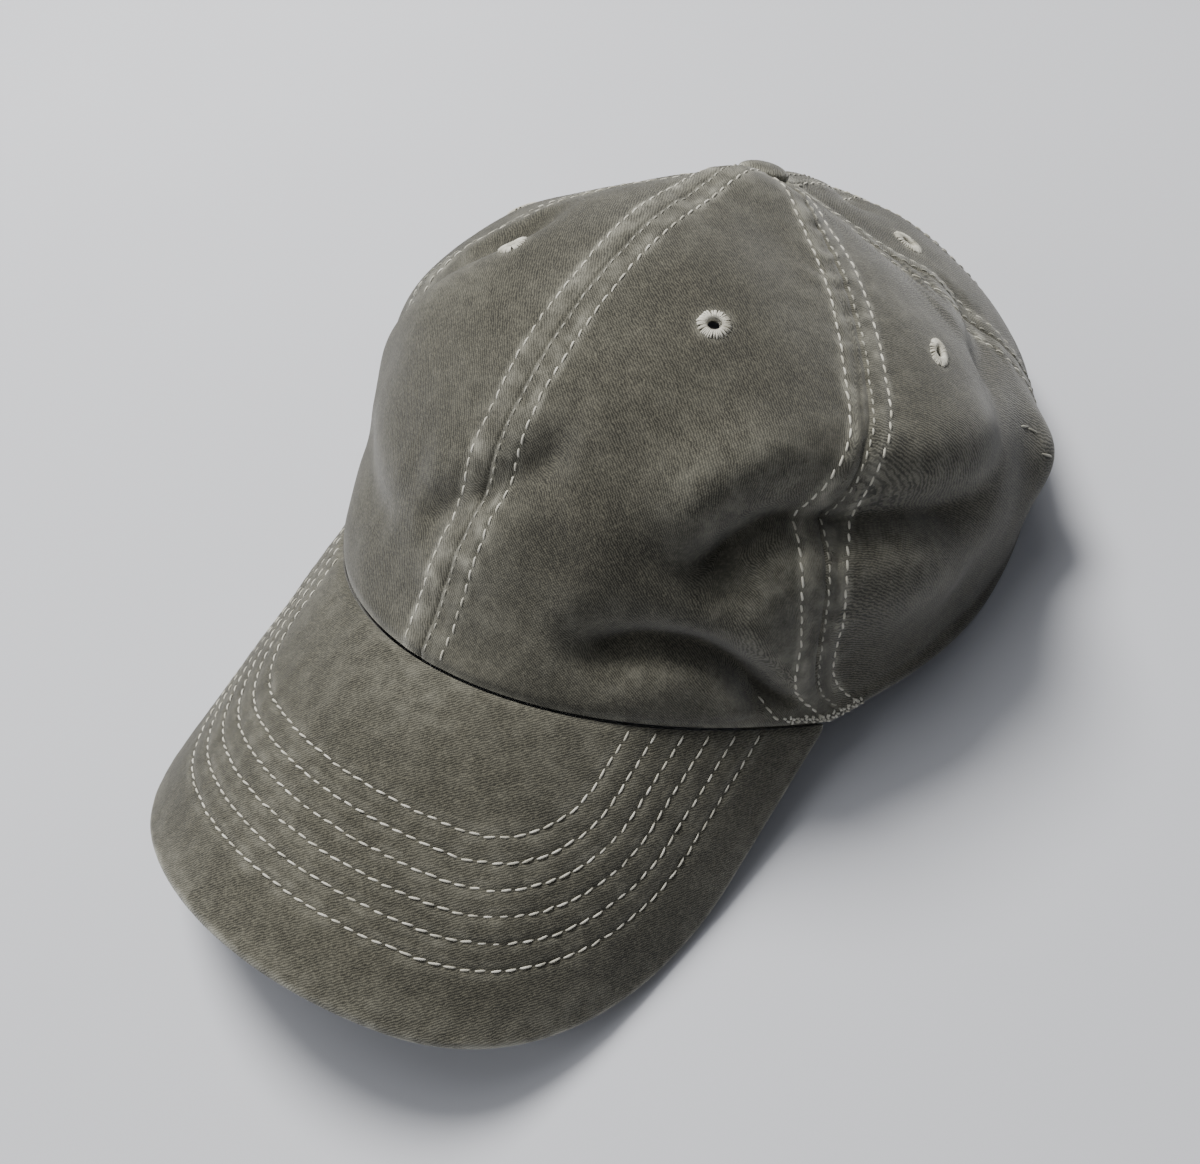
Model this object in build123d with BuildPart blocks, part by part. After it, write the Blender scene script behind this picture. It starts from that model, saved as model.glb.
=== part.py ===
from build123d import *
import os
from functools import lru_cache
from math import asin, atan2, cos, degrees, pi, radians, sin, sqrt

os.makedirs("parts", exist_ok=True)

# An unstructured six-panel cap lying on a table, brim towards -Y, wearer's left towards +X.
# The crown has slumped backwards, so its top button faces up and to the rear.
# All lengths are millimetres and all angles degrees.

# --- head band: an ellipse seen from above ---
BAND_HALF_WIDTH = 83.7
BAND_HALF_LENGTH = 100.5
BAND_CENTRE_Y = 33.9
BAND_REST_HEIGHT = 0.35
BAND_SKEW = 0.035

# --- brim: a flat pattern bent to a cylinder and tipped forward ---
BRIM_ROOT_HEIGHT = 48.45
BRIM_TIP = 13.0
BRIM_BEND_RADIUS = 79.5
BRIM_REACH = 70.5
BRIM_FRONT_RADIUS = 172.0
BRIM_FRONT_ARC = 13.5
BRIM_CORNER_RADIUS = 65.0
BRIM_THICKNESS = 3.4
BRIM_COVER = 0.6
BRIM_BOARD_INSET = 0.4
BRIM_LAYER_GAP = 0.1
BRIM_SEAM_GAP = 0.3
BRIM_CORNER_ACROSS = (BRIM_FRONT_RADIUS - BRIM_CORNER_RADIUS) * sin(radians(BRIM_FRONT_ARC))
BRIM_HALF_PATTERN = BRIM_CORNER_ACROSS + BRIM_CORNER_RADIUS

# --- crown: each meridian is a cubic from the band to the button ---
# Values stand for the front, side, back and rear seams, and vary smoothly in between.
BUTTON_Y = BAND_CENTRE_Y + 39.4
BUTTON_HEIGHT = 79.0
OUTWARD_LEAN = (-55.0, -9.0, 7.0, 5.0)
BAND_HANDLE = (42.0, 68.0, 40.0, 28.0)
BUTTON_SLOPE = (-29.0, 3.0, 30.0, 42.0)
BUTTON_HANDLE = (85.0, 92.0, 50.0, 40.0)
SEAM_STEP = 60.0
BAND_RISE_SPAN = 35.0
MERIDIAN_STEPS = 60
SHARE_STEP = 0.002
TURN_STEP = 0.2
SHARE_LIMITS = (0.002, 0.985)

# --- cloth layers, measured inwards from the crown's outer face ---
PANEL_THICKNESS = 1.0
PANEL_SEAM_GAP = 0.2
PANEL_TOP_CLEAR = 4.6
TAPE_DEPTH = (1.3, 1.9)
TAPE_HALF_WIDTH = 6.0
TAPE_TOP_CLEAR = 14.0
SWEATBAND_DEPTH = (2.3, 3.5)
SWEATBAND_HEIGHT = 32.0
SWEATBAND_END = 133.0
LABEL_DEPTH = (3.8, 4.2)
LABEL_TURNS = (106.0, 124.0)
LABEL_CLIMB = (7.0, 25.0)

# --- eyelets: one in each panel, turn about the crown and distance up from the band ---
EYELETS = {"front": (31.0, 88.0), "side": (79.0, 82.0), "back": (140.0, 62.0)}
EYELET_HOLE_RADIUS = 1.5
EYELET_RADIUS = 3.6
EYELET_CLEARANCE = 0.15
EYELET_PROUD = 0.5
EYELET_CUT_DEPTH = 6.0

# --- rear opening, strap and buckle ---
ARCH_HALF_WIDTH = 42.0
ARCH_HEIGHT = 40.0
ARCH_BINDING_WIDTH = 8.0
ARCH_BINDING_DEPTH = (1.3, 1.9)
ARCH_BINDING_TURNS = (135.0, 225.0)
ARCH_BINDING_CLIMBS = (0.2, 66.0)
ARCH_EDGE_GAP = 0.3
ARCH_CUT_FROM = 35.0
STRAP_WIDTH = 18.0
STRAP_THICKNESS = 1.0
STRAP_CLIMB = 14.0
STRAP_SEWN_DEPTH = 3.3
TAB_LOOP_DEPTH = 2.3
STRAP_BUCKLE_DEPTH = 5.0
STRAP_TAIL_DEPTH = 6.5
STRAP_SEWN_TURN = 223.0
STRAP_TAIL_TURN = 143.0
TAB_SEWN_TURN = 137.0
TAB_RISE_TURN = 150.0
STRAP_SINK_TURN = 184.0
STRAP_SINK_SPAN = 20.0
BAR_X = -12.3
BAR_RADIUS = 0.8
TAB_LOOP_CLEARANCE = 0.15
PIN_X = -5.5
PIN_Z = -2.9
PIN_RADIUS = 1.0
PIN_RUNNING_GAP = 0.05
HUB_RADIUS = 1.75
CAM_RADIUS = 2.0
FRAME_INNER_HALF = STRAP_WIDTH / 2 + 0.7
FRAME_WALL = 1.0
FRAME_FLOOR_Z = -7.3
LEVER_HALF_WIDTH = FRAME_INNER_HALF - 0.4
LEVER_REACH = 9.5
LEVER_THICKNESS = 1.0

# --- top button ---
BUTTON_RADIUS = 6.8
BUTTON_RISE = 1.5
BUTTON_SEAT = 0.3
BUTTON_BACK_RADIUS = 5.6
BUTTON_BACK_DEPTH = 3.4
BUTTON_BACK_THICKNESS = 0.8
RIVET_RADIUS = 1.5
RIVET_REACH = 0.7
RIVET_GAP = 0.05


# ---------------------------------------------------------------- brim surface
def brim_drop(across, depth):
    """How far the bent brim has fallen below its crest at this distance across the pattern."""
    return BRIM_BEND_RADIUS - (BRIM_BEND_RADIUS - depth) * cos(across / BRIM_BEND_RADIUS)


def brim_point(across, forward, depth):
    """A pattern point on the bent and tipped brim, depth below its top face."""
    drop = brim_drop(across, depth)
    x = (BRIM_BEND_RADIUS - depth) * sin(across / BRIM_BEND_RADIUS)
    tip = radians(BRIM_TIP)
    y = BAND_CENTRE_Y - BAND_HALF_LENGTH - forward * cos(tip) + drop * sin(tip)
    z = BRIM_ROOT_HEIGHT - forward * sin(tip) - drop * cos(tip)
    return (x, y, z)


def brim_front(across, inset):
    """Forward distance of the pattern's outer edge: a wide front arc, then a corner arc."""
    arc = radians(BRIM_FRONT_ARC)
    across = abs(across)
    front_radius = BRIM_FRONT_RADIUS - inset
    corner_radius = BRIM_CORNER_RADIUS - inset
    if across <= front_radius * sin(arc):
        return BRIM_REACH - BRIM_FRONT_RADIUS + sqrt(front_radius**2 - across**2)
    span = BRIM_FRONT_RADIUS - BRIM_CORNER_RADIUS
    beyond = min(across - span * sin(arc), corner_radius)
    return BRIM_REACH - BRIM_FRONT_RADIUS + span * cos(arc) + sqrt(corner_radius**2 - beyond**2)


def brim_back(across, depth, gap):
    """Forward distance at which the brim meets the head band, gap clear of it."""
    x = (BRIM_BEND_RADIUS - depth) * sin(across / BRIM_BEND_RADIUS)
    share = x / (BAND_HALF_WIDTH + gap)
    y = (BAND_HALF_LENGTH + gap) * sqrt(1 - share**2)
    tip = radians(BRIM_TIP)
    return (y - BAND_HALF_LENGTH + brim_drop(across, depth) * sin(tip)) / cos(tip)


def brim_top_height(x, y):
    """Height of the brim's top face above a point on the head band."""
    drop = BRIM_BEND_RADIUS - sqrt(BRIM_BEND_RADIUS**2 - x**2)
    tip = radians(BRIM_TIP)
    forward = (BAND_CENTRE_Y - BAND_HALF_LENGTH - y + drop * sin(tip)) / cos(tip)
    return BRIM_ROOT_HEIGHT - forward * sin(tip) - drop * cos(tip)


# --------------------------------------------------------------- crown surface
def smooth(share):
    """Ease from 0 to 1."""
    share = min(max(share, 0.0), 1.0)
    return share * share * (3 - 2 * share)


def round_the_crown(values, turn):
    """Even, smooth variation of a value given at the front, side, back and rear seams."""
    last = len(values) - 1
    total = 0.0
    for wave in range(last + 1):
        weight = 0.0
        for seam, value in enumerate(values):
            share = 0.5 if seam in (0, last) else 1.0
            weight += share * value * cos(pi * wave * seam / last)
        share = 0.5 if wave in (0, last) else 1.0
        total += share * weight * 2 / last * cos(radians(wave * turn))
    return total


@lru_cache(maxsize=None)
def meridian(turn):
    """Control points of the crown's meridian: band, two handles, button."""
    band_angle = radians(turn) + BAND_SKEW * sin(2 * radians(turn))
    x = BAND_HALF_WIDTH * sin(band_angle)
    y = BAND_CENTRE_Y - BAND_HALF_LENGTH * cos(band_angle)
    brim_end = asin(BRIM_BEND_RADIUS * sin(BRIM_HALF_PATTERN / BRIM_BEND_RADIUS) / BAND_HALF_WIDTH)
    around = abs(atan2(sin(band_angle), cos(band_angle)))
    if around <= brim_end:
        foot_z = brim_top_height(x, y)
    else:
        end_x = BAND_HALF_WIDTH * sin(brim_end)
        end_z = brim_top_height(end_x, BAND_CENTRE_Y - BAND_HALF_LENGTH * cos(brim_end))
        share = smooth((around - brim_end) / radians(BAND_RISE_SPAN))
        foot_z = end_z + (BAND_REST_HEIGHT - end_z) * share
    out = Vector(sin(band_angle) / BAND_HALF_WIDTH, -cos(band_angle) / BAND_HALF_LENGTH, 0).normalized()
    up = Vector(0, 0, 1)
    lean = radians(round_the_crown(OUTWARD_LEAN, turn))
    foot = Vector(x, y, foot_z)
    low = foot + (out * sin(lean) + up * cos(lean)) * round_the_crown(BAND_HANDLE, turn)
    top = Vector(0, BUTTON_Y, BUTTON_HEIGHT)
    slope = radians(round_the_crown(BUTTON_SLOPE, turn))
    away = Vector(sin(radians(turn)), -cos(radians(turn)), 0)
    high = top + (away * cos(slope) - up * sin(slope)) * round_the_crown(BUTTON_HANDLE, turn)
    return foot, low, high, top


def on_meridian(turn, share):
    foot, low, high, top = meridian(turn)
    rest = 1 - share
    return foot * rest**3 + low * (3 * rest**2 * share) + high * (3 * rest * share**2) + top * share**3


@lru_cache(maxsize=None)
def meridian_lengths(turn):
    """Distance along the meridian from the band at even steps."""
    lengths = [0.0]
    before = on_meridian(turn, 0)
    for step in range(1, MERIDIAN_STEPS + 1):
        here = on_meridian(turn, step / MERIDIAN_STEPS)
        lengths.append(lengths[-1] + (here - before).length)
        before = here
    return lengths


def share_at(turn, climb):
    """Meridian parameter at this distance up from the band."""
    lengths = meridian_lengths(turn)
    for step in range(MERIDIAN_STEPS):
        if climb <= lengths[step + 1] or step == MERIDIAN_STEPS - 1:
            part = (climb - lengths[step]) / (lengths[step + 1] - lengths[step])
            return (step + part) / MERIDIAN_STEPS


def crown_normal(turn, share):
    """Outward unit normal of the crown."""
    share = min(max(share, SHARE_LIMITS[0]), SHARE_LIMITS[1])
    along = on_meridian(turn, share + SHARE_STEP) - on_meridian(turn, share - SHARE_STEP)
    around = on_meridian(turn + TURN_STEP, share) - on_meridian(turn - TURN_STEP, share)
    return along.cross(around).normalized() * -1


def crown_point(turn, climb, depth=0.0):
    """A point depth inside the crown's outer face."""
    share = share_at(turn, climb)
    return on_meridian(turn, share) - crown_normal(turn, share) * depth


def crown_plane(turn, climb):
    """A plane on the crown, its Z outward and its Y up the meridian."""
    share = share_at(turn, climb)
    out = crown_normal(turn, share)
    up = on_meridian(turn, share + 0.01) - on_meridian(turn, share - 0.01)
    return Plane(origin=on_meridian(turn, share), x_dir=up.cross(out), z_dir=out)


# --------------------------------------------------------- solids between grids
def layer(outer, inner):
    """The closed solid between two matching grids of points."""
    top = Face.make_surface_from_array_of_points(outer)
    bottom = Face.make_surface_from_array_of_points(inner)
    walls = []
    for edge in top.edges():
        twin = bottom.edges().sort_by_distance(edge.position_at(0.5))[0]
        walls.append(Face.make_surface_from_curves(edge, twin))
    return Solid(Shell([top, bottom, *walls]))


def crown_layer(turns, climbs, depths, across=9, upward=7):
    """A piece of cloth on the crown; climbs gives the low and high limit at a turn."""
    grids = []
    for depth in depths:
        rows = []
        for i in range(across):
            turn = turns[0] + (turns[1] - turns[0]) * i / (across - 1)
            low, high = climbs(turn)
            steps = [low + (high - low) * j / (upward - 1) for j in range(upward)]
            rows.append([crown_point(turn, climb, depth) for climb in steps])
        grids.append(rows)
    return layer(*grids)


def brim_layer(depths, inset, gap, across=33, forward=9):
    """A layer of the brim; its outer edge is inset and its inner edge is gap off the band."""
    half = BRIM_HALF_PATTERN - inset
    grids = []
    for depth in depths:
        rows = []
        for i in range(across):
            u = half * sin(pi / 2 * (2 * i / (across - 1) - 1))
            back = brim_back(u, depth, gap)
            front = brim_front(u, inset)
            steps = [back + (front - back) * j / (forward - 1) for j in range(forward)]
            rows.append([brim_point(u, step, depth) for step in steps])
        grids.append(rows)
    return layer(*grids)


def keep(name, piece):
    piece.part.label = name
    export_step(piece.part, f"parts/{name}.step")


# --------------------------------------------------------------------- panels
def to_the_button(turn):
    return 0.0, meridian_lengths(turn)[-1] - PANEL_TOP_CLEAR


def arch_cutter(margin):
    """A block through the rear of the crown with the opening's outline, a round top on upright sides."""
    with BuildPart() as cutter:
        with BuildSketch(Plane.XZ.offset(-BAND_CENTRE_Y - ARCH_CUT_FROM)):
            Ellipse(ARCH_HALF_WIDTH + margin, ARCH_HEIGHT + margin)
            with Locations((0, -ARCH_HEIGHT)):
                Rectangle(2 * (ARCH_HALF_WIDTH + margin), 2 * ARCH_HEIGHT)
        extrude(amount=-BAND_HALF_LENGTH)
    return cutter.part


def eyelet_place(panel):
    turn, climb = EYELETS[panel]
    return crown_plane(turn, climb)


def panel_solid(panel, first_turn, last_turn):
    """One crown panel with its eyelet hole, on the wearer's left."""
    turns = (first_turn + PANEL_SEAM_GAP, last_turn - PANEL_SEAM_GAP)
    with BuildPart() as cloth:
        add(crown_layer(turns, to_the_button, (0.0, PANEL_THICKNESS), upward=21))
        with BuildSketch(eyelet_place(panel)):
            Circle(EYELET_RADIUS + EYELET_CLEARANCE)
        extrude(amount=EYELET_CUT_DEPTH, both=True, mode=Mode.SUBTRACT)
        if panel == "back":
            add(arch_cutter(0.0), mode=Mode.SUBTRACT)
    return cloth.part


for index, panel in enumerate(EYELETS):
    solid = panel_solid(panel, index * SEAM_STEP, (index + 1) * SEAM_STEP)
    with BuildPart() as left_panel:
        add(solid)
    keep(f"{panel}_panel_left", left_panel)
    with BuildPart() as right_panel:
        add(mirror(solid, about=Plane.YZ, mode=Mode.PRIVATE))
    keep(f"{panel}_panel_right", right_panel)


# ----------------------------------------------------------------- eyelets
for panel in EYELETS:
    with BuildPart() as eyelet:
        with BuildSketch(eyelet_place(panel).offset(-PANEL_THICKNESS / 2)):
            Circle(EYELET_RADIUS)
            Circle(EYELET_HOLE_RADIUS, mode=Mode.SUBTRACT)
        extrude(amount=PANEL_THICKNESS / 2 + EYELET_PROUD, both=True)
    keep(f"{panel}_eyelet_left", eyelet)
    with BuildPart() as eyelet_right:
        add(mirror(eyelet.part, about=Plane.YZ, mode=Mode.PRIVATE))
    keep(f"{panel}_eyelet_right", eyelet_right)


# ------------------------------------------------------------- seam tapes
def tape_solid(seam_turn, low):
    """A tape behind one seam, of even width from low up to just short of the button."""
    high = meridian_lengths(seam_turn)[-1] - TAPE_TOP_CLEAR
    grids = []
    for depth in TAPE_DEPTH:
        rows = []
        for side in (-1, 0, 1):
            row = []
            for step in range(15):
                climb = low + (high - low) * step / 14
                here = crown_point(seam_turn, climb, depth)
                beside = crown_point(seam_turn + 1.0, climb, depth)
                degrees_off = TAPE_HALF_WIDTH / (beside - here).length
                row.append(crown_point(seam_turn + side * degrees_off, climb, depth))
            rows.append(row)
        grids.append(rows)
    return layer(*grids)


arch_top = ARCH_HEIGHT + ARCH_BINDING_WIDTH + 1.0
arch_top_climb = next(climb for climb in range(100) if crown_point(180.0, climb, TAPE_DEPTH[1]).Z > arch_top)
TAPES = {
    "front": (0.0, 0.6),
    "side_left": (60.0, 0.6),
    "side_right": (-60.0, 0.6),
    "back_left": (120.0, 0.6),
    "back_right": (-120.0, 0.6),
    "rear": (180.0, arch_top_climb),
}
for seam, (seam_turn, low) in TAPES.items():
    with BuildPart() as tape:
        add(tape_solid(seam_turn, low))
    keep(f"seam_tape_{seam}", tape)


# ------------------------------------------------------- sweatband and label
with BuildPart() as sweatband:
    add(
        crown_layer(
            (-SWEATBAND_END, SWEATBAND_END),
            lambda turn: (0.4, SWEATBAND_HEIGHT),
            SWEATBAND_DEPTH,
            across=61,
            upward=5,
        )
    )
keep("sweatband", sweatband)

with BuildPart() as inner_label:
    add(crown_layer(LABEL_TURNS, lambda turn: LABEL_CLIMB, LABEL_DEPTH, across=5, upward=3))
keep("inner_label", inner_label)


# --------------------------------------------------------------------- brim
with BuildPart() as brim_cover_top:
    add(brim_layer((0.0, BRIM_COVER), 0.0, BRIM_SEAM_GAP))
keep("brim_cover_top", brim_cover_top)

board_top = BRIM_COVER + BRIM_LAYER_GAP
board_bottom = BRIM_THICKNESS - BRIM_COVER - BRIM_LAYER_GAP
with BuildPart() as brim_board:
    add(brim_layer((board_top, board_bottom), BRIM_BOARD_INSET, BRIM_SEAM_GAP + BRIM_BOARD_INSET))
keep("brim_board", brim_board)

with BuildPart() as brim_cover_bottom:
    add(brim_layer((BRIM_THICKNESS - BRIM_COVER, BRIM_THICKNESS), 0.0, BRIM_SEAM_GAP))
keep("brim_cover_bottom", brim_cover_bottom)


# ---------------------------------------------------------- rear opening trim
with BuildPart() as arch_binding:
    binding_climbs = lambda turn: ARCH_BINDING_CLIMBS
    add(crown_layer(ARCH_BINDING_TURNS, binding_climbs, ARCH_BINDING_DEPTH, across=31, upward=13))
    add(arch_cutter(ARCH_BINDING_WIDTH), mode=Mode.INTERSECT)
    add(arch_cutter(ARCH_EDGE_GAP), mode=Mode.SUBTRACT)
keep("arch_binding", arch_binding)


# ------------------------------------------------------------ strap and tab
BAR_TURN = 180.0 + degrees(BAR_X / BAND_HALF_WIDTH)


def strap_depth(turn):
    """The strap lies against the crown where it is sewn and dives through the buckle."""
    if turn > 180.0:
        share = smooth((turn - STRAP_SINK_TURN) / STRAP_SINK_SPAN)
        return STRAP_BUCKLE_DEPTH + (STRAP_SEWN_DEPTH - STRAP_BUCKLE_DEPTH) * share
    share = smooth((180.0 - turn) / (180.0 - BAR_TURN))
    return STRAP_BUCKLE_DEPTH + (STRAP_TAIL_DEPTH - STRAP_BUCKLE_DEPTH) * share


def tab_depth(turn):
    """The tab rises to meet the buckle's bar."""
    share = smooth((turn - TAB_RISE_TURN) / (BAR_TURN - TAB_RISE_TURN))
    return STRAP_SEWN_DEPTH + (TAB_LOOP_DEPTH - STRAP_SEWN_DEPTH) * share


def strap_layer(turns, depth_at, steps):
    """A flat strap laid along the crown just above the band."""
    grids = []
    for extra in (0.0, STRAP_THICKNESS):
        rows = []
        for step in range(steps):
            turn = turns[0] + (turns[1] - turns[0]) * step / (steps - 1)
            place = crown_plane(turn, STRAP_CLIMB)
            depth = depth_at(turn) + extra
            rows.append([place.from_local_coords((0, side * STRAP_WIDTH / 2, -depth)) for side in (-1, 0, 1)])
        grids.append(rows)
    return layer(*grids)


with BuildPart() as strap:
    add(strap_layer((STRAP_TAIL_TURN, STRAP_SEWN_TURN), strap_depth, 41))
keep("strap", strap)

# The buckle's own plane: X from the tab towards the sewn end of the strap, Y up, Z outwards.
buckle_plane = crown_plane(180.0, STRAP_CLIMB)
buckle_side = Plane(origin=buckle_plane.origin, x_dir=buckle_plane.x_dir, z_dir=-buckle_plane.y_dir)
bar_sag = BAR_X**2 / (2 * BAND_HALF_WIDTH**2 / BAND_HALF_LENGTH)
LOOP_INNER_RADIUS = BAR_RADIUS + TAB_LOOP_CLEARANCE
LOOP_OUTER_RADIUS = LOOP_INNER_RADIUS + STRAP_THICKNESS
BAR_Z = -(TAB_LOOP_DEPTH + bar_sag + LOOP_OUTER_RADIUS)

with BuildPart() as strap_tab:
    add(strap_layer((TAB_SEWN_TURN, BAR_TURN), tab_depth, 19))
    with BuildSketch(buckle_side.offset(-STRAP_WIDTH / 2)):
        with Locations((BAR_X, BAR_Z)):
            Circle(LOOP_OUTER_RADIUS)
    extrude(amount=STRAP_WIDTH)
    with BuildSketch(buckle_side.offset(-STRAP_WIDTH / 2 - 1)):
        with Locations((BAR_X, BAR_Z)):
            Circle(LOOP_INNER_RADIUS)
    extrude(amount=STRAP_WIDTH + 2, mode=Mode.SUBTRACT)
keep("strap_tab", strap_tab)


# ------------------------------------------------------------------- buckle
EAR_ROUNDING = 0.6
EAR_OUTLINE = [
    (BAR_X - 1.6, BAR_Z - 1.3),
    (BAR_X - 1.6, BAR_Z + 1.2),
    (PIN_X - 2.6, PIN_Z + 1.5),
    (PIN_X + 2.4, PIN_Z + 1.5),
    (9.0, FRAME_FLOOR_Z + 2.2),
    (9.0, FRAME_FLOOR_Z - FRAME_WALL),
    (-7.0, FRAME_FLOOR_Z - FRAME_WALL),
    (-9.4, BAR_Z - 1.3),
]

with BuildPart() as buckle_frame:
    for start in (-FRAME_INNER_HALF - FRAME_WALL, FRAME_INNER_HALF):
        with BuildSketch(buckle_side.offset(start)):
            with BuildLine():
                Polyline(EAR_OUTLINE, close=True)
            make_face()
            fillet(vertices(), radius=EAR_ROUNDING)
        extrude(amount=FRAME_WALL)
    with BuildSketch(buckle_side.offset(-FRAME_INNER_HALF - FRAME_WALL / 2)):
        with Locations((1.25, FRAME_FLOOR_Z - FRAME_WALL / 2)):
            Rectangle(14.5, FRAME_WALL)
        with Locations((BAR_X, BAR_Z)):
            Circle(BAR_RADIUS)
    extrude(amount=2 * FRAME_INNER_HALF + FRAME_WALL)
    with BuildSketch(buckle_side.offset(-FRAME_INNER_HALF - 2 * FRAME_WALL)):
        with Locations((PIN_X, PIN_Z)):
            Circle(PIN_RADIUS)
    extrude(amount=2 * FRAME_INNER_HALF + 4 * FRAME_WALL, mode=Mode.SUBTRACT)
keep("buckle_frame", buckle_frame)

PIN_HALF_LENGTH = FRAME_INNER_HALF + FRAME_WALL
with BuildPart() as buckle_pin:
    with BuildSketch(buckle_side.offset(-PIN_HALF_LENGTH)):
        with Locations((PIN_X, PIN_Z)):
            Circle(PIN_RADIUS)
    extrude(amount=2 * PIN_HALF_LENGTH)
    for start, height in ((-PIN_HALF_LENGTH, -0.4), (PIN_HALF_LENGTH, 0.4)):
        with BuildSketch(buckle_side.offset(start)):
            with Locations((PIN_X, PIN_Z)):
                Circle(PIN_RADIUS + 0.5)
        extrude(amount=height)
keep("buckle_pin", buckle_pin)

with BuildPart() as buckle_lever:
    with BuildSketch(buckle_side.offset(-LEVER_HALF_WIDTH)):
        with Locations((PIN_X, PIN_Z)):
            Circle(HUB_RADIUS)
        with Locations((PIN_X, PIN_Z - CAM_RADIUS + 0.8)):
            Rectangle(1.8, 1.6)
        plate_top = PIN_Z + HUB_RADIUS
        plate_centre = (PIN_X + LEVER_REACH) / 2
        with Locations((plate_centre, plate_top - LEVER_THICKNESS / 2)):
            Rectangle(LEVER_REACH - PIN_X, LEVER_THICKNESS)
        with Locations((LEVER_REACH - 0.4, plate_top)):
            Circle(0.9)
    extrude(amount=2 * LEVER_HALF_WIDTH)
    with BuildSketch(buckle_side.offset(-LEVER_HALF_WIDTH - 1)):
        with Locations((PIN_X, PIN_Z)):
            Circle(PIN_RADIUS + PIN_RUNNING_GAP)
    extrude(amount=2 * LEVER_HALF_WIDTH + 2, mode=Mode.SUBTRACT)
keep("buckle_lever", buckle_lever)


# ---------------------------------------------------------------- top button
# The crown is a shallow cone at the button, tipped back by the mean of its front and rear slopes.
button_tip = radians((BUTTON_SLOPE[-1] - BUTTON_SLOPE[0]) / 2)
button_plane = Plane(
    origin=(0, BUTTON_Y, BUTTON_HEIGHT),
    x_dir=(1, 0, 0),
    z_dir=(0, sin(button_tip), cos(button_tip)),
)

with BuildPart() as button_cover:
    with BuildSketch(button_plane.offset(BUTTON_SEAT)):
        Circle(BUTTON_RADIUS)
    extrude(amount=BUTTON_RISE)
    crest = button_cover.faces().sort_by(Axis(button_plane.origin, button_plane.z_dir))[-1]
    fillet(crest.edges(), radius=BUTTON_RISE * 0.75)
    with BuildSketch(button_plane.offset(BUTTON_SEAT)):
        Circle(RIVET_RADIUS)
    extrude(amount=RIVET_REACH, mode=Mode.SUBTRACT)
keep("button_cover", button_cover)

with BuildPart() as button_rivet:
    with BuildSketch(button_plane.offset(-BUTTON_BACK_DEPTH - BUTTON_BACK_THICKNESS)):
        Circle(BUTTON_BACK_RADIUS)
    extrude(amount=BUTTON_BACK_THICKNESS)
    with BuildSketch(button_plane.offset(-BUTTON_BACK_DEPTH)):
        Circle(RIVET_RADIUS - RIVET_GAP)
    extrude(amount=BUTTON_BACK_DEPTH + BUTTON_SEAT + RIVET_REACH - RIVET_GAP)
keep("button_rivet", button_rivet)
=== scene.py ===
from math import radians

import bpy
import numpy as np
from mathutils import Matrix


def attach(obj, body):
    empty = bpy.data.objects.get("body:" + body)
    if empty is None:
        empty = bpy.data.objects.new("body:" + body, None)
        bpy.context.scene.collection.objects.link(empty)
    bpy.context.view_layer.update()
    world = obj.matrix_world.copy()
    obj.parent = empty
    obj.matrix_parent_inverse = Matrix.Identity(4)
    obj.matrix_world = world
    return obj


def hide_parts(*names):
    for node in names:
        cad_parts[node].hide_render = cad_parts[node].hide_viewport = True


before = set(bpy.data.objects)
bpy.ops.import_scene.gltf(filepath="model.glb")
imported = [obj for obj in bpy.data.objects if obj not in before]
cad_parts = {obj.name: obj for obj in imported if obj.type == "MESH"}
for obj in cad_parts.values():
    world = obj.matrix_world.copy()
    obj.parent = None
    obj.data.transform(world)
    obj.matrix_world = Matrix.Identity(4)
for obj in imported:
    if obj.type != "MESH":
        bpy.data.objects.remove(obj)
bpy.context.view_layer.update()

# The cloth, thread and trim of an unstructured six-panel cap, laid over its CAD frame.
# Shapes are worked out in millimetres, with turn in degrees about the crown (0 front, positive to the
# wearer's left) and climb in millimetres up the cloth from the head band. Meshes are made in metres.
MM = 0.001

# --- the crown's and the brim's driving dimensions, as in the CAD ---
BAND_HALF_WIDTH = 83.7
BAND_HALF_LENGTH = 100.5
BAND_CENTRE_Y = 33.9
BAND_REST_HEIGHT = 0.35
BAND_RISE_SPAN = 35.0
BAND_SKEW = 0.035
BRIM_ROOT_HEIGHT = 48.45
BRIM_TIP = radians(13.0)
BRIM_BEND_RADIUS = 79.5
BRIM_REACH = 70.5
BRIM_FRONT_RADIUS = 172.0
BRIM_FRONT_ARC = radians(13.5)
BRIM_CORNER_RADIUS = 65.0
BRIM_THICKNESS = 3.4
BRIM_SEAM_GAP = 0.3
BUTTON_Y = BAND_CENTRE_Y + 39.4
BUTTON_HEIGHT = 79.0
OUTWARD_LEAN = (-55.0, -9.0, 7.0, 5.0)
BAND_HANDLE = (42.0, 68.0, 40.0, 28.0)
BUTTON_SLOPE = (-29.0, 3.0, 30.0, 42.0)
BUTTON_HANDLE = (85.0, 92.0, 50.0, 40.0)
SEAM_TURNS = (-120.0, -60.0, 0.0, 60.0, 120.0, 180.0)
PANEL_THICKNESS = 1.0
PANEL_TOP_CLEAR = 4.6
EYELETS = {"front": (31.0, 88.0), "side": (79.0, 82.0), "back": (140.0, 62.0)}
EYELET_HOLE_RADIUS = 1.45
EYELET_RADIUS = 3.6
ARCH_HALF_WIDTH = 42.0
ARCH_HEIGHT = 40.0
STRAP_WIDTH = 18.0
STRAP_CLIMB = 14.0

# --- sewing ---
SEAM_ROW = 5.2
MIDDLE_ROW = 0.9
STITCH_PITCH = 3.1
SEAM_THREAD = 0.29
FINE_THREAD = 0.25
TACK_CORNERS = 23
BRIM_MARGIN = 15.8
BRIM_ROW_STEP = 5.3
BRIM_ROWS = 6

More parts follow.
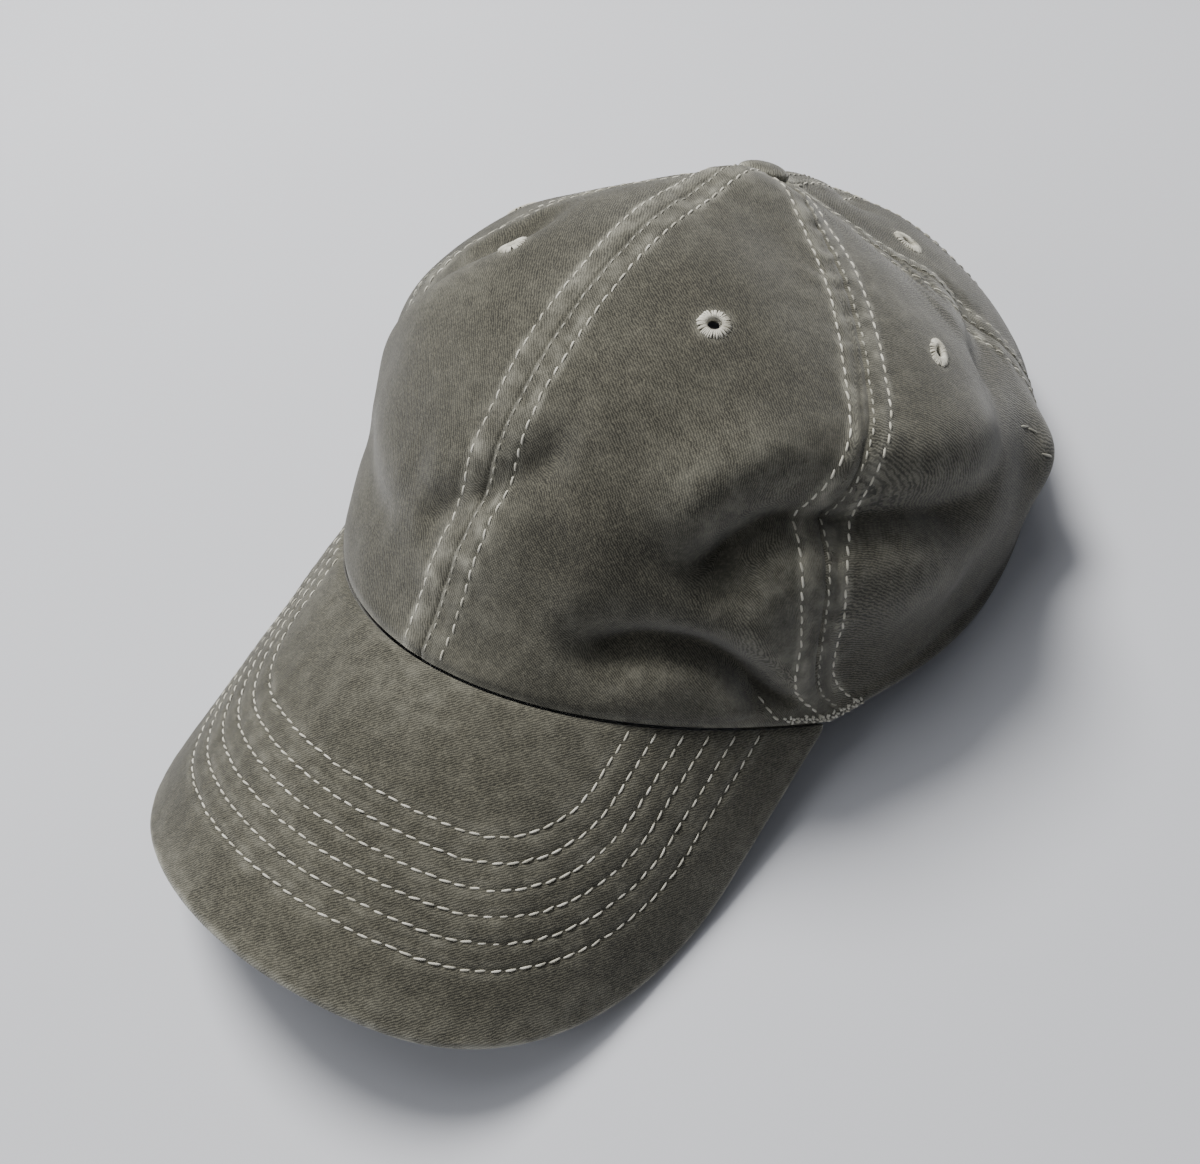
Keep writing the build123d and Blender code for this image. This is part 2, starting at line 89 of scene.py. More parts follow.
BRIM_CORNER_SPAN = BRIM_FRONT_RADIUS - BRIM_CORNER_RADIUS
BRIM_CORNER_U = BRIM_CORNER_SPAN * np.sin(BRIM_FRONT_ARC)
BRIM_FRONT_CENTRE = BRIM_REACH - BRIM_FRONT_RADIUS
BRIM_CORNER_V = BRIM_FRONT_CENTRE + BRIM_CORNER_SPAN * np.cos(BRIM_FRONT_ARC)
BRIM_HALF_PATTERN = BRIM_CORNER_U + BRIM_CORNER_RADIUS


# ------------------------------------------------------------------ small maths
def smooth(share):
    """Ease from 0 to 1."""
    share = np.clip(share, 0.0, 1.0)
    return share * share * (3 - 2 * share)


def bell(x, width):
    return np.exp(-((x / width) ** 2))


def unit(vectors):
    return vectors / np.maximum(np.linalg.norm(vectors, axis=-1, keepdims=True), 1e-9)


def through(keys, at):
    """A smooth curve through (place, value...) keys, read at these places."""
    keys = np.array(keys, float)
    place, value = keys[:, 0], keys[:, 1:]
    slope = np.gradient(value, place, axis=0)
    at = np.clip(at, place[0], place[-1])
    left = np.clip(np.searchsorted(place, at, side="right") - 1, 0, len(place) - 2)
    span = (place[left + 1] - place[left])[..., None]
    part = (at - place[left])[..., None] / span
    start = value[left] * (1 + 2 * part) * (1 - part) ** 2 + slope[left] * span * part * (1 - part) ** 2
    end = value[left + 1] * part**2 * (3 - 2 * part) - slope[left + 1] * span * part**2 * (1 - part)
    return (start + end)[..., 0] if value.shape[1] == 1 else start + end


def ripple(seed, points, wavelength, count=12):
    """Smooth seeded noise of about this wavelength, mostly between -1 and 1."""
    draw = np.random.default_rng(seed)
    total = np.zeros(points.shape[:-1])
    for _ in range(count):
        direction = unit(draw.normal(size=points.shape[-1]))
        length = wavelength * draw.uniform(0.7, 1.5)
        total += np.sin(points @ direction * 2 * np.pi / length + draw.uniform(0, 2 * np.pi))
    return total / np.sqrt(count)


# ---------------------------------------------------------------- brim surface
def brim_point(across, forward, depth=0.0):
    """A flat-pattern point on the bent and tipped brim, depth below its top face."""
    radius = BRIM_BEND_RADIUS - depth
    drop = BRIM_BEND_RADIUS - radius * np.cos(across / BRIM_BEND_RADIUS)
    x = radius * np.sin(across / BRIM_BEND_RADIUS)
    y = BAND_CENTRE_Y - BAND_HALF_LENGTH - forward * np.cos(BRIM_TIP) + drop * np.sin(BRIM_TIP)
    z = BRIM_ROOT_HEIGHT - forward * np.sin(BRIM_TIP) - drop * np.cos(BRIM_TIP)
    return np.stack(np.broadcast_arrays(x, y, z), -1)


def brim_inset(across, forward):
    """Distance of a pattern point inside the brim's outer edge."""
    across = np.abs(across)
    in_front = np.hypot(across, forward - BRIM_FRONT_CENTRE)
    in_corner = np.hypot(across - BRIM_CORNER_U, forward - BRIM_CORNER_V)
    angle = np.arctan2(across, forward - BRIM_FRONT_CENTRE)
    side = BRIM_HALF_PATTERN - across
    corner = np.where(forward > BRIM_CORNER_V, BRIM_CORNER_RADIUS - in_corner, side)
    return np.where(angle < BRIM_FRONT_ARC, BRIM_FRONT_RADIUS - in_front, corner)


def brim_front(across):
    """Forward distance of the pattern's outer edge."""
    across = np.abs(across)
    front = BRIM_FRONT_CENTRE + np.sqrt(np.maximum(BRIM_FRONT_RADIUS**2 - across**2, 0))
    beyond = np.minimum(across - BRIM_CORNER_U, BRIM_CORNER_RADIUS)
    corner = BRIM_CORNER_V + np.sqrt(np.maximum(BRIM_CORNER_RADIUS**2 - beyond**2, 0))
    return np.where(across <= BRIM_FRONT_RADIUS * np.sin(BRIM_FRONT_ARC), front, corner)


def brim_back(across, gap=BRIM_SEAM_GAP):
    """Forward distance at which the brim meets the head band."""
    x = BRIM_BEND_RADIUS * np.sin(across / BRIM_BEND_RADIUS)
    drop = BRIM_BEND_RADIUS * (1 - np.cos(across / BRIM_BEND_RADIUS))
    y = (BAND_HALF_LENGTH + gap) * np.sqrt(1 - (x / (BAND_HALF_WIDTH + gap)) ** 2)
    return (y - BAND_HALF_LENGTH + drop * np.sin(BRIM_TIP)) / np.cos(BRIM_TIP)


def brim_top_height(x, y):
    """Height of the brim's top face above a point of the head band."""
    drop = BRIM_BEND_RADIUS - np.sqrt(np.maximum(BRIM_BEND_RADIUS**2 - x**2, 1.0))
    forward = (BAND_CENTRE_Y - BAND_HALF_LENGTH - y + drop * np.sin(BRIM_TIP)) / np.cos(BRIM_TIP)
    return BRIM_ROOT_HEIGHT - forward * np.sin(BRIM_TIP) - drop * np.cos(BRIM_TIP)


# --------------------------------------------------------------- crown surface
def round_the_crown(values, turn):
    """Even, smooth variation of a value given at the front, side, back and rear seams."""
    last = len(values) - 1
    total = 0.0
    for wave in range(last + 1):
        weight = 0.0
        for seam, value in enumerate(values):
            weight += value * np.cos(np.pi * wave * seam / last) * (0.5 if seam in (0, last) else 1.0)
        share = 0.5 if wave in (0, last) else 1.0
        total = total + weight * 2 / last * np.cos(np.radians(wave * turn)) * share
    return total


def smooth_crown(turn, share):
    """The unwrinkled crown: a cubic from the band to the button at each turn."""
    angle = np.radians(turn)
    band_angle = angle + BAND_SKEW * np.sin(2 * angle)
    x = BAND_HALF_WIDTH * np.sin(band_angle)
    y = BAND_CENTRE_Y - BAND_HALF_LENGTH * np.cos(band_angle)
    brim_end = np.arcsin(BRIM_BEND_RADIUS * np.sin(BRIM_HALF_PATTERN / BRIM_BEND_RADIUS) / BAND_HALF_WIDTH)
    around = np.abs(np.arctan2(np.sin(band_angle), np.cos(band_angle)))
    end_y = BAND_CENTRE_Y - BAND_HALF_LENGTH * np.cos(brim_end)
    end_z = brim_top_height(BAND_HALF_WIDTH * np.sin(brim_end), end_y)
    ease = smooth((around - brim_end) / radians(BAND_RISE_SPAN))
    z = np.where(around <= brim_end, brim_top_height(x, y), end_z + (BAND_REST_HEIGHT - end_z) * ease)
    zero = np.zeros_like(turn)
    out_x, out_y = np.sin(band_angle) / BAND_HALF_WIDTH, -np.cos(band_angle) / BAND_HALF_LENGTH
    out = unit(np.stack([out_x, out_y, zero], -1))
    away = np.stack([np.sin(angle), -np.cos(angle), zero], -1)
    up = np.array([0.0, 0.0, 1.0])
    lean = np.radians(round_the_crown(OUTWARD_LEAN, turn))[..., None]
    slope = np.radians(round_the_crown(BUTTON_SLOPE, turn))[..., None]
    foot = np.stack([x, y, z], -1)
    top = np.array([0.0, BUTTON_Y, BUTTON_HEIGHT])
    low = foot + (out * np.sin(lean) + up * np.cos(lean)) * round_the_crown(BAND_HANDLE, turn)[..., None]
    high = top + (away * np.cos(slope) - up * np.sin(slope)) * round_the_crown(BUTTON_HANDLE, turn)[..., None]
    share = share[..., None]
    rest = 1 - share
    return foot * rest**3 + low * 3 * rest**2 * share + high * 3 * rest * share**2 + top * share**3


TURN_STEPS = 720
CLIMB_STEPS = 300
grid_turn, grid_share = np.meshgrid(
    np.linspace(-180.0, 180.0, TURN_STEPS + 1), np.linspace(0.0, 1.0, CLIMB_STEPS + 1), indexing="ij"
)


def even_shares():
    """Cubic parameters that step evenly along each meridian, and the meridians' lengths."""
    points = smooth_crown(grid_turn, grid_share)
    steps = np.linalg.norm(np.diff(points, axis=1), axis=-1)
    reached = np.concatenate([np.zeros((TURN_STEPS + 1, 1)), np.cumsum(steps, axis=1)], axis=1)
    even = np.empty_like(grid_share)
    for i in range(TURN_STEPS + 1):
        even[i] = np.interp(grid_share[i] * reached[i, -1], reached[i], grid_share[i])
    return even, reached[:, -1]


cubic_share, meridian_length = even_shares()
grid_climb = grid_share * meridian_length[:, None]


def grid_slopes(points):
    """Change of a crown grid per step of turn and per step of climb."""
    wrapped = np.concatenate([points[-2:-1], points, points[1:2]])
    return (wrapped[2:] - wrapped[:-2]) / 2, np.gradient(points, axis=1)


def grid_normals(points):
    around, along = grid_slopes(points)
    normals = unit(np.cross(around, along))
    normals[:, -3:] = unit(normals[:, -4].mean(axis=0))
    return normals


def read_grid(grid, turn, climb):
    """Bilinear reading of a crown grid."""
    turn, climb = np.broadcast_arrays(np.asarray(turn, float), np.asarray(climb, float))
    turn = (turn + 180.0) % 360.0
    column = turn / 360.0 * TURN_STEPS
    length = np.interp(turn - 180.0, grid_turn[:, 0], meridian_length)
    row = np.clip(climb / length, 0.0, 1.0) * CLIMB_STEPS
    i = np.minimum(column.astype(int), TURN_STEPS - 1)
    j = np.minimum(row.astype(int), CLIMB_STEPS - 1)
    a, b = column - i, row - j
    if grid.ndim == 3:
        a, b = a[..., None], b[..., None]
    low = grid[i, j] * (1 - a) + grid[i + 1, j] * a
    high = grid[i, j + 1] * (1 - a) + grid[i + 1, j + 1] * a
    return low * (1 - b) + high * b


# ----------------------------------------------------- folds of the slumped cloth
# Millimetres round the band to a degree, used to lay folds and patterns out flat.
MM_PER_DEGREE = 1.62

# Each fold: its valley as (turn, climb) points from right to left, depth and half width of the valley,
# height of the lip above it, and how far the lip hangs down over it.
FOLDS = [
    ([(18, 9), (25, 15), (32, 19.5), (39, 21), (45, 20), (49.5, 16), (52, 9), (53, 4)], 6.6, 6.4, 2.2, 2.6),
    (
        [(36, 28), (42, 38), (47, 47), (52, 53), (58, 55.5), (65, 54), (73, 51), (82, 45), (90, 39)],
        7.4, 7.8, 3.4, 3.2,
    ),
    ([(20, 20), (30, 29), (38, 38), (47, 51)], 2.0, 9.0, 0.8, 1.5),
    ([(-13, 25), (-6, 32), (2, 41), (9, 48), (17, 57)], 2.4, 6.5, 0.8, 1.0),
    ([(-66, 44), (-56, 62), (-45, 79), (-38, 92), (-34, 108)], 2.2, 7.0, 1.4, 0.8),
    ([(-48, 33), (-38, 27), (-26, 22), (-15, 21)], 1.6, 7.0, 0.8, 1.2),
    ([(-96, 62), (-84, 50), (-74, 37), (-66, 25)], 3.2, 7.5, 1.4, 1.8),
    ([(-128, 34), (-116, 44), (-103, 50), (-90, 51)], 2.6, 7.0, 1.0, 1.5),
    ([(92, 66), (104, 58), (116, 54), (130, 53)], 2.2, 7.5, 1.0, 1.2),
    ([(150, 74), (163, 68), (176, 66), (190, 68), (204, 75)], 1.8, 7.0, 0.8, 1.0),
]

# Broad dents and swellings: turn, climb, half spans in degrees and millimetres, height.
SWELLS = [
    (-72.0, 48.0, 26.0, 30.0, -2.8),
    (122.0, 80.0, 26.0, 34.0, -4.5),
    (80.0, 13.0, 22.0, 16.0, -3.6),
    (107.0, 27.0, 6.0, 9.0, 4.5),
    (28.0, 70.0, 20.0, 26.0, 1.2),
    (-35.0, 60.0, 18.0, 24.0, 1.5),
    (30.0, 139.0, 42.0, 10.0, 3.2),
]
# How far the crown sinks round its button, and over what distance from it.
BUTTON_DIMPLE = 2.0
BUTTON_DIMPLE_SPAN = 7.5

# Sideways drift in degrees of the side seams at each climb: the left over its kink, the right towards
# the front. Each drift fades out over this many degrees beside its seam.
SEAM_DRIFT_SPAN = 17.0
SEAM_DRIFTS = {
    60.0: [
        (0, 0), (8, -3), (30, -3.5), (48, -4), (60, -3),
        (72, -1.5), (88, -1), (105, -0.5), (150, 0), (160, 0),
    ],
    -60.0: [(0, 0), (28, 0), (46, 1.5), (67, 5.5), (81, 8.5), (92, 8), (120, 3), (150, 0), (160, 0)],
}


# A fold fades in and out over this share of its length.
FOLD_FADE = 0.22
HALF_LAP = 400.0


def valley_distance(path):
    """Signed distance of every grid point from a fold's valley, and its fade towards the ends."""
    keys = [(k, turn * MM_PER_DEGREE, climb) for k, (turn, climb) in enumerate(path)]
    line = through(keys, np.linspace(0, len(path) - 1, 10 * len(path)))
    points = np.stack([grid_turn * MM_PER_DEGREE, grid_climb], -1)
    best = np.full(grid_turn.shape, 1e9)
    signed = np.zeros(grid_turn.shape)
    along = np.zeros(grid_turn.shape)
    for k, (start, end) in enumerate(zip(line[:-1], line[1:])):
        for lap in (-360.0, 0.0, 360.0):
            origin = start + [lap * MM_PER_DEGREE, 0]
            if abs(origin[0]) > HALF_LAP:
                continue
            step = end - start
            part = np.clip(((points - origin) @ step) / (step @ step), 0, 1)
            gap = points - origin - part[..., None] * step
            distance = np.hypot(gap[..., 0], gap[..., 1])
            side = np.sign(step[0] * gap[..., 1] - step[1] * gap[..., 0])
            nearer = distance < best
            best[nearer] = distance[nearer]
            signed[nearer] = (side * distance)[nearer]
            along[nearer] = ((k + part) / (len(line) - 1))[nearer]
    return signed, smooth(along / FOLD_FADE) * smooth((1 - along) / FOLD_FADE)


def spread_inward(raised):
    """The dents of a height grid alone, widened and smoothed, so that linings pass under them."""
    inward = np.minimum(raised, 0.0)
    for _ in range(8):
        around = np.minimum(np.roll(inward, 1, axis=0), np.roll(inward, -1, axis=0))
        inward = np.minimum(inward, around)
        inward[:, 1:-1] = np.minimum(inward[:, 1:-1], np.minimum(inward[:, :-2], inward[:, 2:]))
    for _ in range(40):
        inward[:, 1:-1] = (inward[:, :-2] + 2 * inward[:, 1:-1] + inward[:, 2:]) / 4
        inward = (np.roll(inward, 1, axis=0) + 2 * inward + np.roll(inward, -1, axis=0)) / 4
    return inward


def build_crown():
    """The crown's outer face and its lining, wrinkled, as grids of points."""
    drift = 0.0
    for seam, keys in SEAM_DRIFTS.items():
        drift = drift + bell(grid_turn - seam, SEAM_DRIFT_SPAN) * through(keys, grid_climb)
    points = smooth_crown(grid_turn + drift, cubic_share)
    normals = grid_normals(points)
    downward = -unit(grid_slopes(points)[1])
    to_button = meridian_length[:, None] - grid_climb
    raised = np.zeros(grid_turn.shape)
    lowered = np.zeros(grid_turn.shape)
    for path, depth, width, lip, hang in FOLDS:
        distance, fade = valley_distance(path)
        raised -= fade * depth * bell(distance, width)
        raised += fade * lip * bell(distance - 1.7 * width, 1.2 * width)
        raised += fade * lip * 0.6 * bell(distance + 2.0 * width, 1.3 * width)
        lowered += fade * hang * bell(distance - 0.9 * width, 1.1 * width)
    for turn, climb, half_turn, half_climb, height in SWELLS:
        off = (grid_turn - turn + 180.0) % 360.0 - 180.0
        raised += height * bell(off, half_turn) * bell(grid_climb - climb, half_climb)
    held = smooth(grid_climb / 7.0) * smooth(to_button / 16.0)
    raised += held * (0.55 * ripple(3, points, 46.0) + 0.22 * ripple(4, points, 21.0))
    raised *= smooth(grid_climb / 5.0)
    raised -= BUTTON_DIMPLE * bell(to_button, BUTTON_DIMPLE_SPAN)
    lowered *= held
    outer = points + normals * raised[..., None] + downward * lowered[..., None]
    inner = points + normals * spread_inward(raised)[..., None] + downward * lowered[..., None] * 0.5
    outer[-1], inner[-1] = outer[0], inner[0]
    return outer, inner


outer_grid, lining_grid = build_crown()
outer_normals = grid_normals(outer_grid)
lining_normals = grid_normals(lining_grid)
width_grid = np.linalg.norm(grid_slopes(outer_grid)[0], axis=-1) * TURN_STEPS / 360.0


def crown(turn, climb, depth=0.0):
    """Points depth inside the crown's wrinkled outer face."""
    normal = unit(read_grid(outer_normals, turn, climb))
    return read_grid(outer_grid, turn, climb) - normal * np.asarray(depth)[..., None]


def lining(turn, climb, depth=0.0):
    """Points depth inside the crown, under the cloth's folds."""
    normal = unit(read_grid(lining_normals, turn, climb))
    return read_grid(lining_grid, turn, climb) - normal * np.asarray(depth)[..., None]


def mm_per_degree(turn, climb):
    return np.maximum(read_grid(width_grid, turn, climb), 0.02)


def meridian_top(turn):
    return np.interp((np.asarray(turn, float) + 180.0) % 360.0 - 180.0, grid_turn[:, 0], meridian_length)


# ------------------------------------------------------------------ mesh making
# Cloth resting on the table stays this far above it, in metres.
TABLE_CLEARANCE = 0.0001


def add_piece(name, vertices, faces, material, attributes=None, sharp=40.0):
    """A mesh of millimetre points and quads, riding on the cap; edges over sharp degrees stay hard."""
    mesh = bpy.data.meshes.new(name)
    vertices = np.asarray(vertices, float).reshape(-1, 3) * MM
    vertices[:, 2] = np.maximum(vertices[:, 2], TABLE_CLEARANCE)
    faces = np.asarray(faces, np.int32)
    sides = faces.shape[1]
    mesh.vertices.add(len(vertices))
    mesh.vertices.foreach_set("co", vertices.astype(np.float32).ravel())
    mesh.loops.add(faces.size)
    mesh.loops.foreach_set("vertex_index", faces.ravel())
    mesh.polygons.add(len(faces))
    mesh.polygons.foreach_set("loop_start", np.arange(0, faces.size, sides, dtype=np.int32))
    mesh.polygons.foreach_set("use_smooth", np.ones(len(faces), bool))
    for label, values in (attributes or {}).items():
        values = np.asarray(values, np.float32)
        kind = "FLOAT_VECTOR" if values.ndim == 2 else "FLOAT"
        layer = mesh.attributes.new(label, kind, "POINT")
        layer.data.foreach_set("vector" if kind == "FLOAT_VECTOR" else "value", values.ravel())
    mesh.update(calc_edges=True)
    mesh.validate()
    if sharp:
        mesh.set_sharp_from_angle(angle=radians(sharp))
    mesh.materials.append(material)
    piece = bpy.data.objects.new(name, mesh)
    bpy.context.scene.collection.objects.link(piece)
    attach(piece, "cap")
    return piece


def slab(outer, inner, kept=None):
    """Vertices and outward quads of the closed cloth between two matching grids of points."""
    rows, columns = outer.shape[:2]
    count = rows * columns
    index = np.arange(count).reshape(rows, columns)
    kept = np.ones((rows - 1, columns - 1), bool) if kept is None else kept
    corners = [index[:-1, :-1][kept], index[1:, :-1][kept], index[1:, 1:][kept], index[:-1, 1:][kept]]
    quads = [np.stack(corners, -1), np.stack(corners[::-1], -1) + count]
    padded = np.pad(kept, 1)
    inside = padded[1:-1, 1:-1]
    walls = (
        (inside & ~padded[:-2, 1:-1], index[:-1, :-1], index[:-1, 1:]),
        (inside & ~padded[2:, 1:-1], index[1:, 1:], index[1:, :-1]),
        (inside & ~padded[1:-1, :-2], index[1:, :-1], index[:-1, :-1]),
        (inside & ~padded[1:-1, 2:], index[:-1, 1:], index[1:, 1:]),
    )
    for chosen, first, second in walls:
        a, b = first[chosen], second[chosen]
        quads.append(np.stack([a, b, b + count, a + count], -1))
    vertices = np.concatenate([outer.reshape(-1, 3), inner.reshape(-1, 3)])
    quads = np.concatenate(quads)
    a, b, c, d = (vertices[quads[:, k]] for k in range(4))
    volume = (np.cross(b - a, c - a) * a).sum() + (np.cross(c - a, d - a) * a).sum()
    return vertices, quads if volume > 0 else quads[:, ::-1]


def cloth_piece(name, outer, inner, pattern, worn, material, kept=None):
    """A sewn piece of cloth; pattern is each grid point's place on the flat cut piece."""
    vertices, quads = slab(outer, inner, kept)
    weave = np.concatenate([pattern, np.zeros(pattern.shape[:2] + (1,))], -1).reshape(-1, 3)
    attributes = {
        "weave": np.concatenate([weave, weave]),
        "worn": np.concatenate([worn.ravel(), worn.ravel() * 0.4]),
    }
    return add_piece(name, vertices, quads, material, attributes)


NARROWEST_CUT = 0.0105


def declare_sheet(node, pattern):
    """Hides the CAD node that a piece replaces, and works out the size it was cut to from its flat pattern.
    """
    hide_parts(node)
    size = (pattern.reshape(-1, 2).max(axis=0) - pattern.reshape(-1, 2).min(axis=0)) * MM
    size = np.maximum(size, NARROWEST_CUT)


# ----------------------------------------------------------------------- thread
STITCH_RINGS = 7
STITCH_SIDES = 6


def stitch_shape():
    """One stitch as a pinched capsule, ends dipping into the cloth: along, across, out."""
    along = -0.5 * np.cos(np.pi * np.arange(STITCH_RINGS) / (STITCH_RINGS - 1))
    girth = np.sqrt(np.clip(1.02 - (2 * along) ** 2, 0.0, 1.0)) ** 0.7
    angle = 2 * np.pi * np.arange(STITCH_SIDES) / STITCH_SIDES
    across = girth[:, None] * np.cos(angle)
    out = girth[:, None] * np.sin(angle) * 0.75 - 1.3 * (2 * along[:, None]) ** 4
    return np.stack([np.repeat(along[:, None], STITCH_SIDES, 1), across, out], -1).reshape(-1, 3)


def tube_faces(rings, sides):
    """Quads of an open tube, and its two ends closed by pairs of quads."""
    faces = []
    for ring in range(rings - 1):
        for side in range(sides):
            near, far = ring * sides, (ring + 1) * sides
            beside = (side + 1) % sides
            faces.append((near + side, near + beside, far + beside, far + side))
    last = (rings - 1) * sides
    for side in range(1, sides - 2, 2):
        faces.append((0, side + 2, side + 1, side))
        faces.append((last, last + side, last + side + 1, last + side + 2))
    return np.array(faces)


def stitch_row(points, normals, seed, pitch=STITCH_PITCH, share=0.82, slant=7.0):
    """Centres, directions, normals and lengths of the stitches along a line of surface points."""
    steps = np.linalg.norm(np.diff(points, axis=0), axis=-1)
    reached = np.concatenate([[0], np.cumsum(steps)])
    count = max(1, int(reached[-1] / pitch))
    centres = (np.arange(count) + 0.5) * reached[-1] / count
    draw = np.random.default_rng(seed)

    def read(at, values):
        return np.stack([np.interp(at, reached, values[:, k]) for k in range(3)], -1)

    half = 0.4 * reached[-1] / count
    normal = unit(read(centres, normals))
    along = unit(read(centres + half, points) - read(centres - half, points))
    side = np.cross(normal, along)
    lean = np.radians(slant + draw.normal(0, 3.0, count))[:, None]
    direction = along * np.cos(lean) + side * np.sin(lean)
    length = reached[-1] / count * share * draw.uniform(0.9, 1.06, count)
    centre = read(centres, points) + side * draw.normal(0, 0.08, count)[:, None]
    return centre, direction, normal, length


def sew(name, rows, material, radius, rise=0.12):
    """A piece made of every stitch in these rows."""
    centre, direction, normal, length = (np.concatenate([row[k] for row in rows]) for k in range(4))
    shape = stitch_shape()
    side = np.cross(normal, direction)
    vertices = (
        centre[:, None]
        + direction[:, None] * shape[:, 0][None, :, None] * length[:, None, None]
        + side[:, None] * shape[:, 1][None, :, None] * radius
        + normal[:, None] * (shape[:, 2][None, :, None] * radius + rise)
    )
    faces = tube_faces(STITCH_RINGS, STITCH_SIDES)
    offsets = np.arange(len(centre))[:, None, None] * len(shape)
    return add_piece(name, vertices, (faces[None] + offsets).reshape(-1, 4), material, sharp=None)


def swept_tubes(paths, radius, sides=6):
    """Vertices and faces of tubes of one radius along several equally long lists of points."""
    paths = np.asarray(paths)
    count, rings = paths.shape[:2]
    along = unit(np.gradient(paths, axis=1))
    helper = np.where(np.abs(along[..., 2:3]) > 0.9, [1.0, 0.0, 0.0], [0.0, 0.0, 1.0])
    first = unit(np.cross(along, helper))
    second = np.cross(along, first)
    angle = 2 * np.pi * np.arange(sides) / sides
    circle = first[:, :, None] * np.cos(angle)[:, None] + second[:, :, None] * np.sin(angle)[:, None]
    vertices = paths[:, :, None] + circle * radius
    faces = tube_faces(rings, sides)
    offsets = np.arange(count)[:, None, None] * rings * sides
    return vertices.reshape(-1, 3), (faces[None] + offsets).reshape(-1, 4)


# -------------------------------------------------------------------- materials
class Shader:
    """A Principled material built node by node."""

    def __init__(self, name, roughness, **sockets):
        self.material = bpy.data.materials.new(name)
        self.material.use_nodes = True
        self.tree = self.material.node_tree
        self.surface = self.tree.nodes["Principled BSDF"]
        self.surface.inputs["Roughness"].default_value = roughness
        for socket, value in sockets.items():
            self.surface.inputs[socket.replace("_", " ")].default_value = value

    def node(self, kind, inputs=(), **settings):
        made = self.tree.nodes.new(kind)
        for setting, value in settings.items():
            setattr(made, setting, value)
        for socket, value in dict(inputs).items():
            self.feed(made.inputs[socket], value)
        return made

    def feed(self, socket, value):
        if isinstance(value, bpy.types.NodeSocket):
            self.tree.links.new(value, socket)
        else:
            socket.default_value = value

    def math(self, operation, first, second=0.0, third=0.0):
        return self.node("ShaderNodeMath", {0: first, 1: second, 2: third}, operation=operation).outputs[0]

    def noise(self, place, scale, detail=3.0, distortion=0.0):
        inputs = {"Vector": place, "Scale": scale, "Detail": detail, "Distortion": distortion}
        return self.node("ShaderNodeTexNoise", inputs).outputs[0]

    def mix(self, share, first, second):
        made = self.node("ShaderNodeMix", data_type="RGBA")
        self.feed(made.inputs[0], share)
        self.feed(made.inputs[6], first)
        self.feed(made.inputs[7], second)
        return made.outputs[2]

    def spread(self, value, low, high, bottom=0.0, top=1.0):
        inputs = {0: value, 1: low, 2: high, 3: bottom, 4: top}
        return self.node("ShaderNodeMapRange", inputs).outputs[0]

    def attribute(self, label, output):
        return self.node("ShaderNodeAttribute", attribute_name=label).outputs[output]

    def place(self):
        return self.node("ShaderNodeTexCoord").outputs["Object"]

    def bump(self, height, strength, distance, under=None):
        inputs = {"Height": height, "Strength": strength, "Distance": distance}
        if under is not None:
            inputs["Normal"] = under
        return self.node("ShaderNodeBump", inputs).outputs[0]

    def finish(self, colour, normal=None, roughness=None):
        self.feed(self.surface.inputs["Base Color"], colour)
        if normal is not None:
            self.feed(self.surface.inputs["Normal"], normal)
        if roughness is not None:
            self.feed(self.surface.inputs["Roughness"], roughness)
        return self.material


def rgb(red, green, blue):
    return (red, green, blue, 1.0)


def twill(name, dark, light, faded, pitch=0.52, contrast=1.0):
    """Washed diagonal cotton twill: fine ribs, flecks, blotches and paler wear."""
    m = Shader(name, 0.92, Sheen_Weight=0.25, Sheen_Roughness=0.55, Specular_IOR_Level=0.25)
    weave = m.attribute("weave", "Vector")
    place = m.place()
    split = m.node("ShaderNodeSeparateXYZ", {0: weave})
    wobble = m.noise(place, 800.0, 2.0)
    across, along = split.outputs[0], split.outputs[1]
    diagonal = m.math("ADD", m.math("MULTIPLY", across, 0.75), m.math("MULTIPLY", along, 0.66))
    phase = m.math("MULTIPLY", diagonal, 2 * np.pi / pitch)
    rib = m.math("SINE", m.math("ADD", phase, m.math("MULTIPLY", wobble, 11.0)))
    counter = m.math("SUBTRACT", m.math("MULTIPLY", across, 0.66), m.math("MULTIPLY", along, 0.75))
    thread = m.math("SINE", m.math("MULTIPLY", counter, 2 * np.pi / (pitch * 0.8)))
    ribs = m.math("MULTIPLY_ADD", rib, 0.5, 0.5)
    threads = m.math("MULTIPLY_ADD", thread, 0.5, 0.5)
    cloth = m.math("MULTIPLY_ADD", ribs, 0.62, m.math("MULTIPLY", m.math("MULTIPLY", ribs, threads), 0.38))
    fleck = m.spread(m.noise(place, 1500.0, 2.0), 0.42, 0.75)
    blotch = m.spread(m.noise(place, 22.0, 3.0, 0.3), 0.3, 0.75)
    streak = m.spread(m.noise(place, 240.0, 3.0, 0.2), 0.4, 0.75)
    tone = m.math("MULTIPLY_ADD", cloth, 0.42 * contrast, m.math("MULTIPLY", fleck, 0.3 * contrast))
    tone = m.math("ADD", tone, m.math("MULTIPLY_ADD", blotch, 0.13, m.math("MULTIPLY", streak, 0.08)))
    colour = m.mix(m.spread(tone, 0.12, 0.95), dark, light)
    worn = m.attribute("worn", "Fac")
    threadbare = m.math("MULTIPLY_ADD", streak, 0.75, m.math("MULTIPLY_ADD", cloth, 0.5, 0.15))
    rubbed = m.math("MULTIPLY", worn, threadbare)
    colour = m.mix(m.math("MINIMUM", rubbed, 1.0), colour, faded)
    fuzz = m.noise(place, 2600.0, 2.0)
    height = m.math("ADD", m.math("MULTIPLY", cloth, 0.8), m.math("MULTIPLY", fuzz, 0.35))
    fine = m.bump(height, 0.55, 0.00016)
    soft = m.bump(m.noise(place, 120.0, 3.0), 0.25, 0.0012, fine)
    return m.finish(colour, soft)


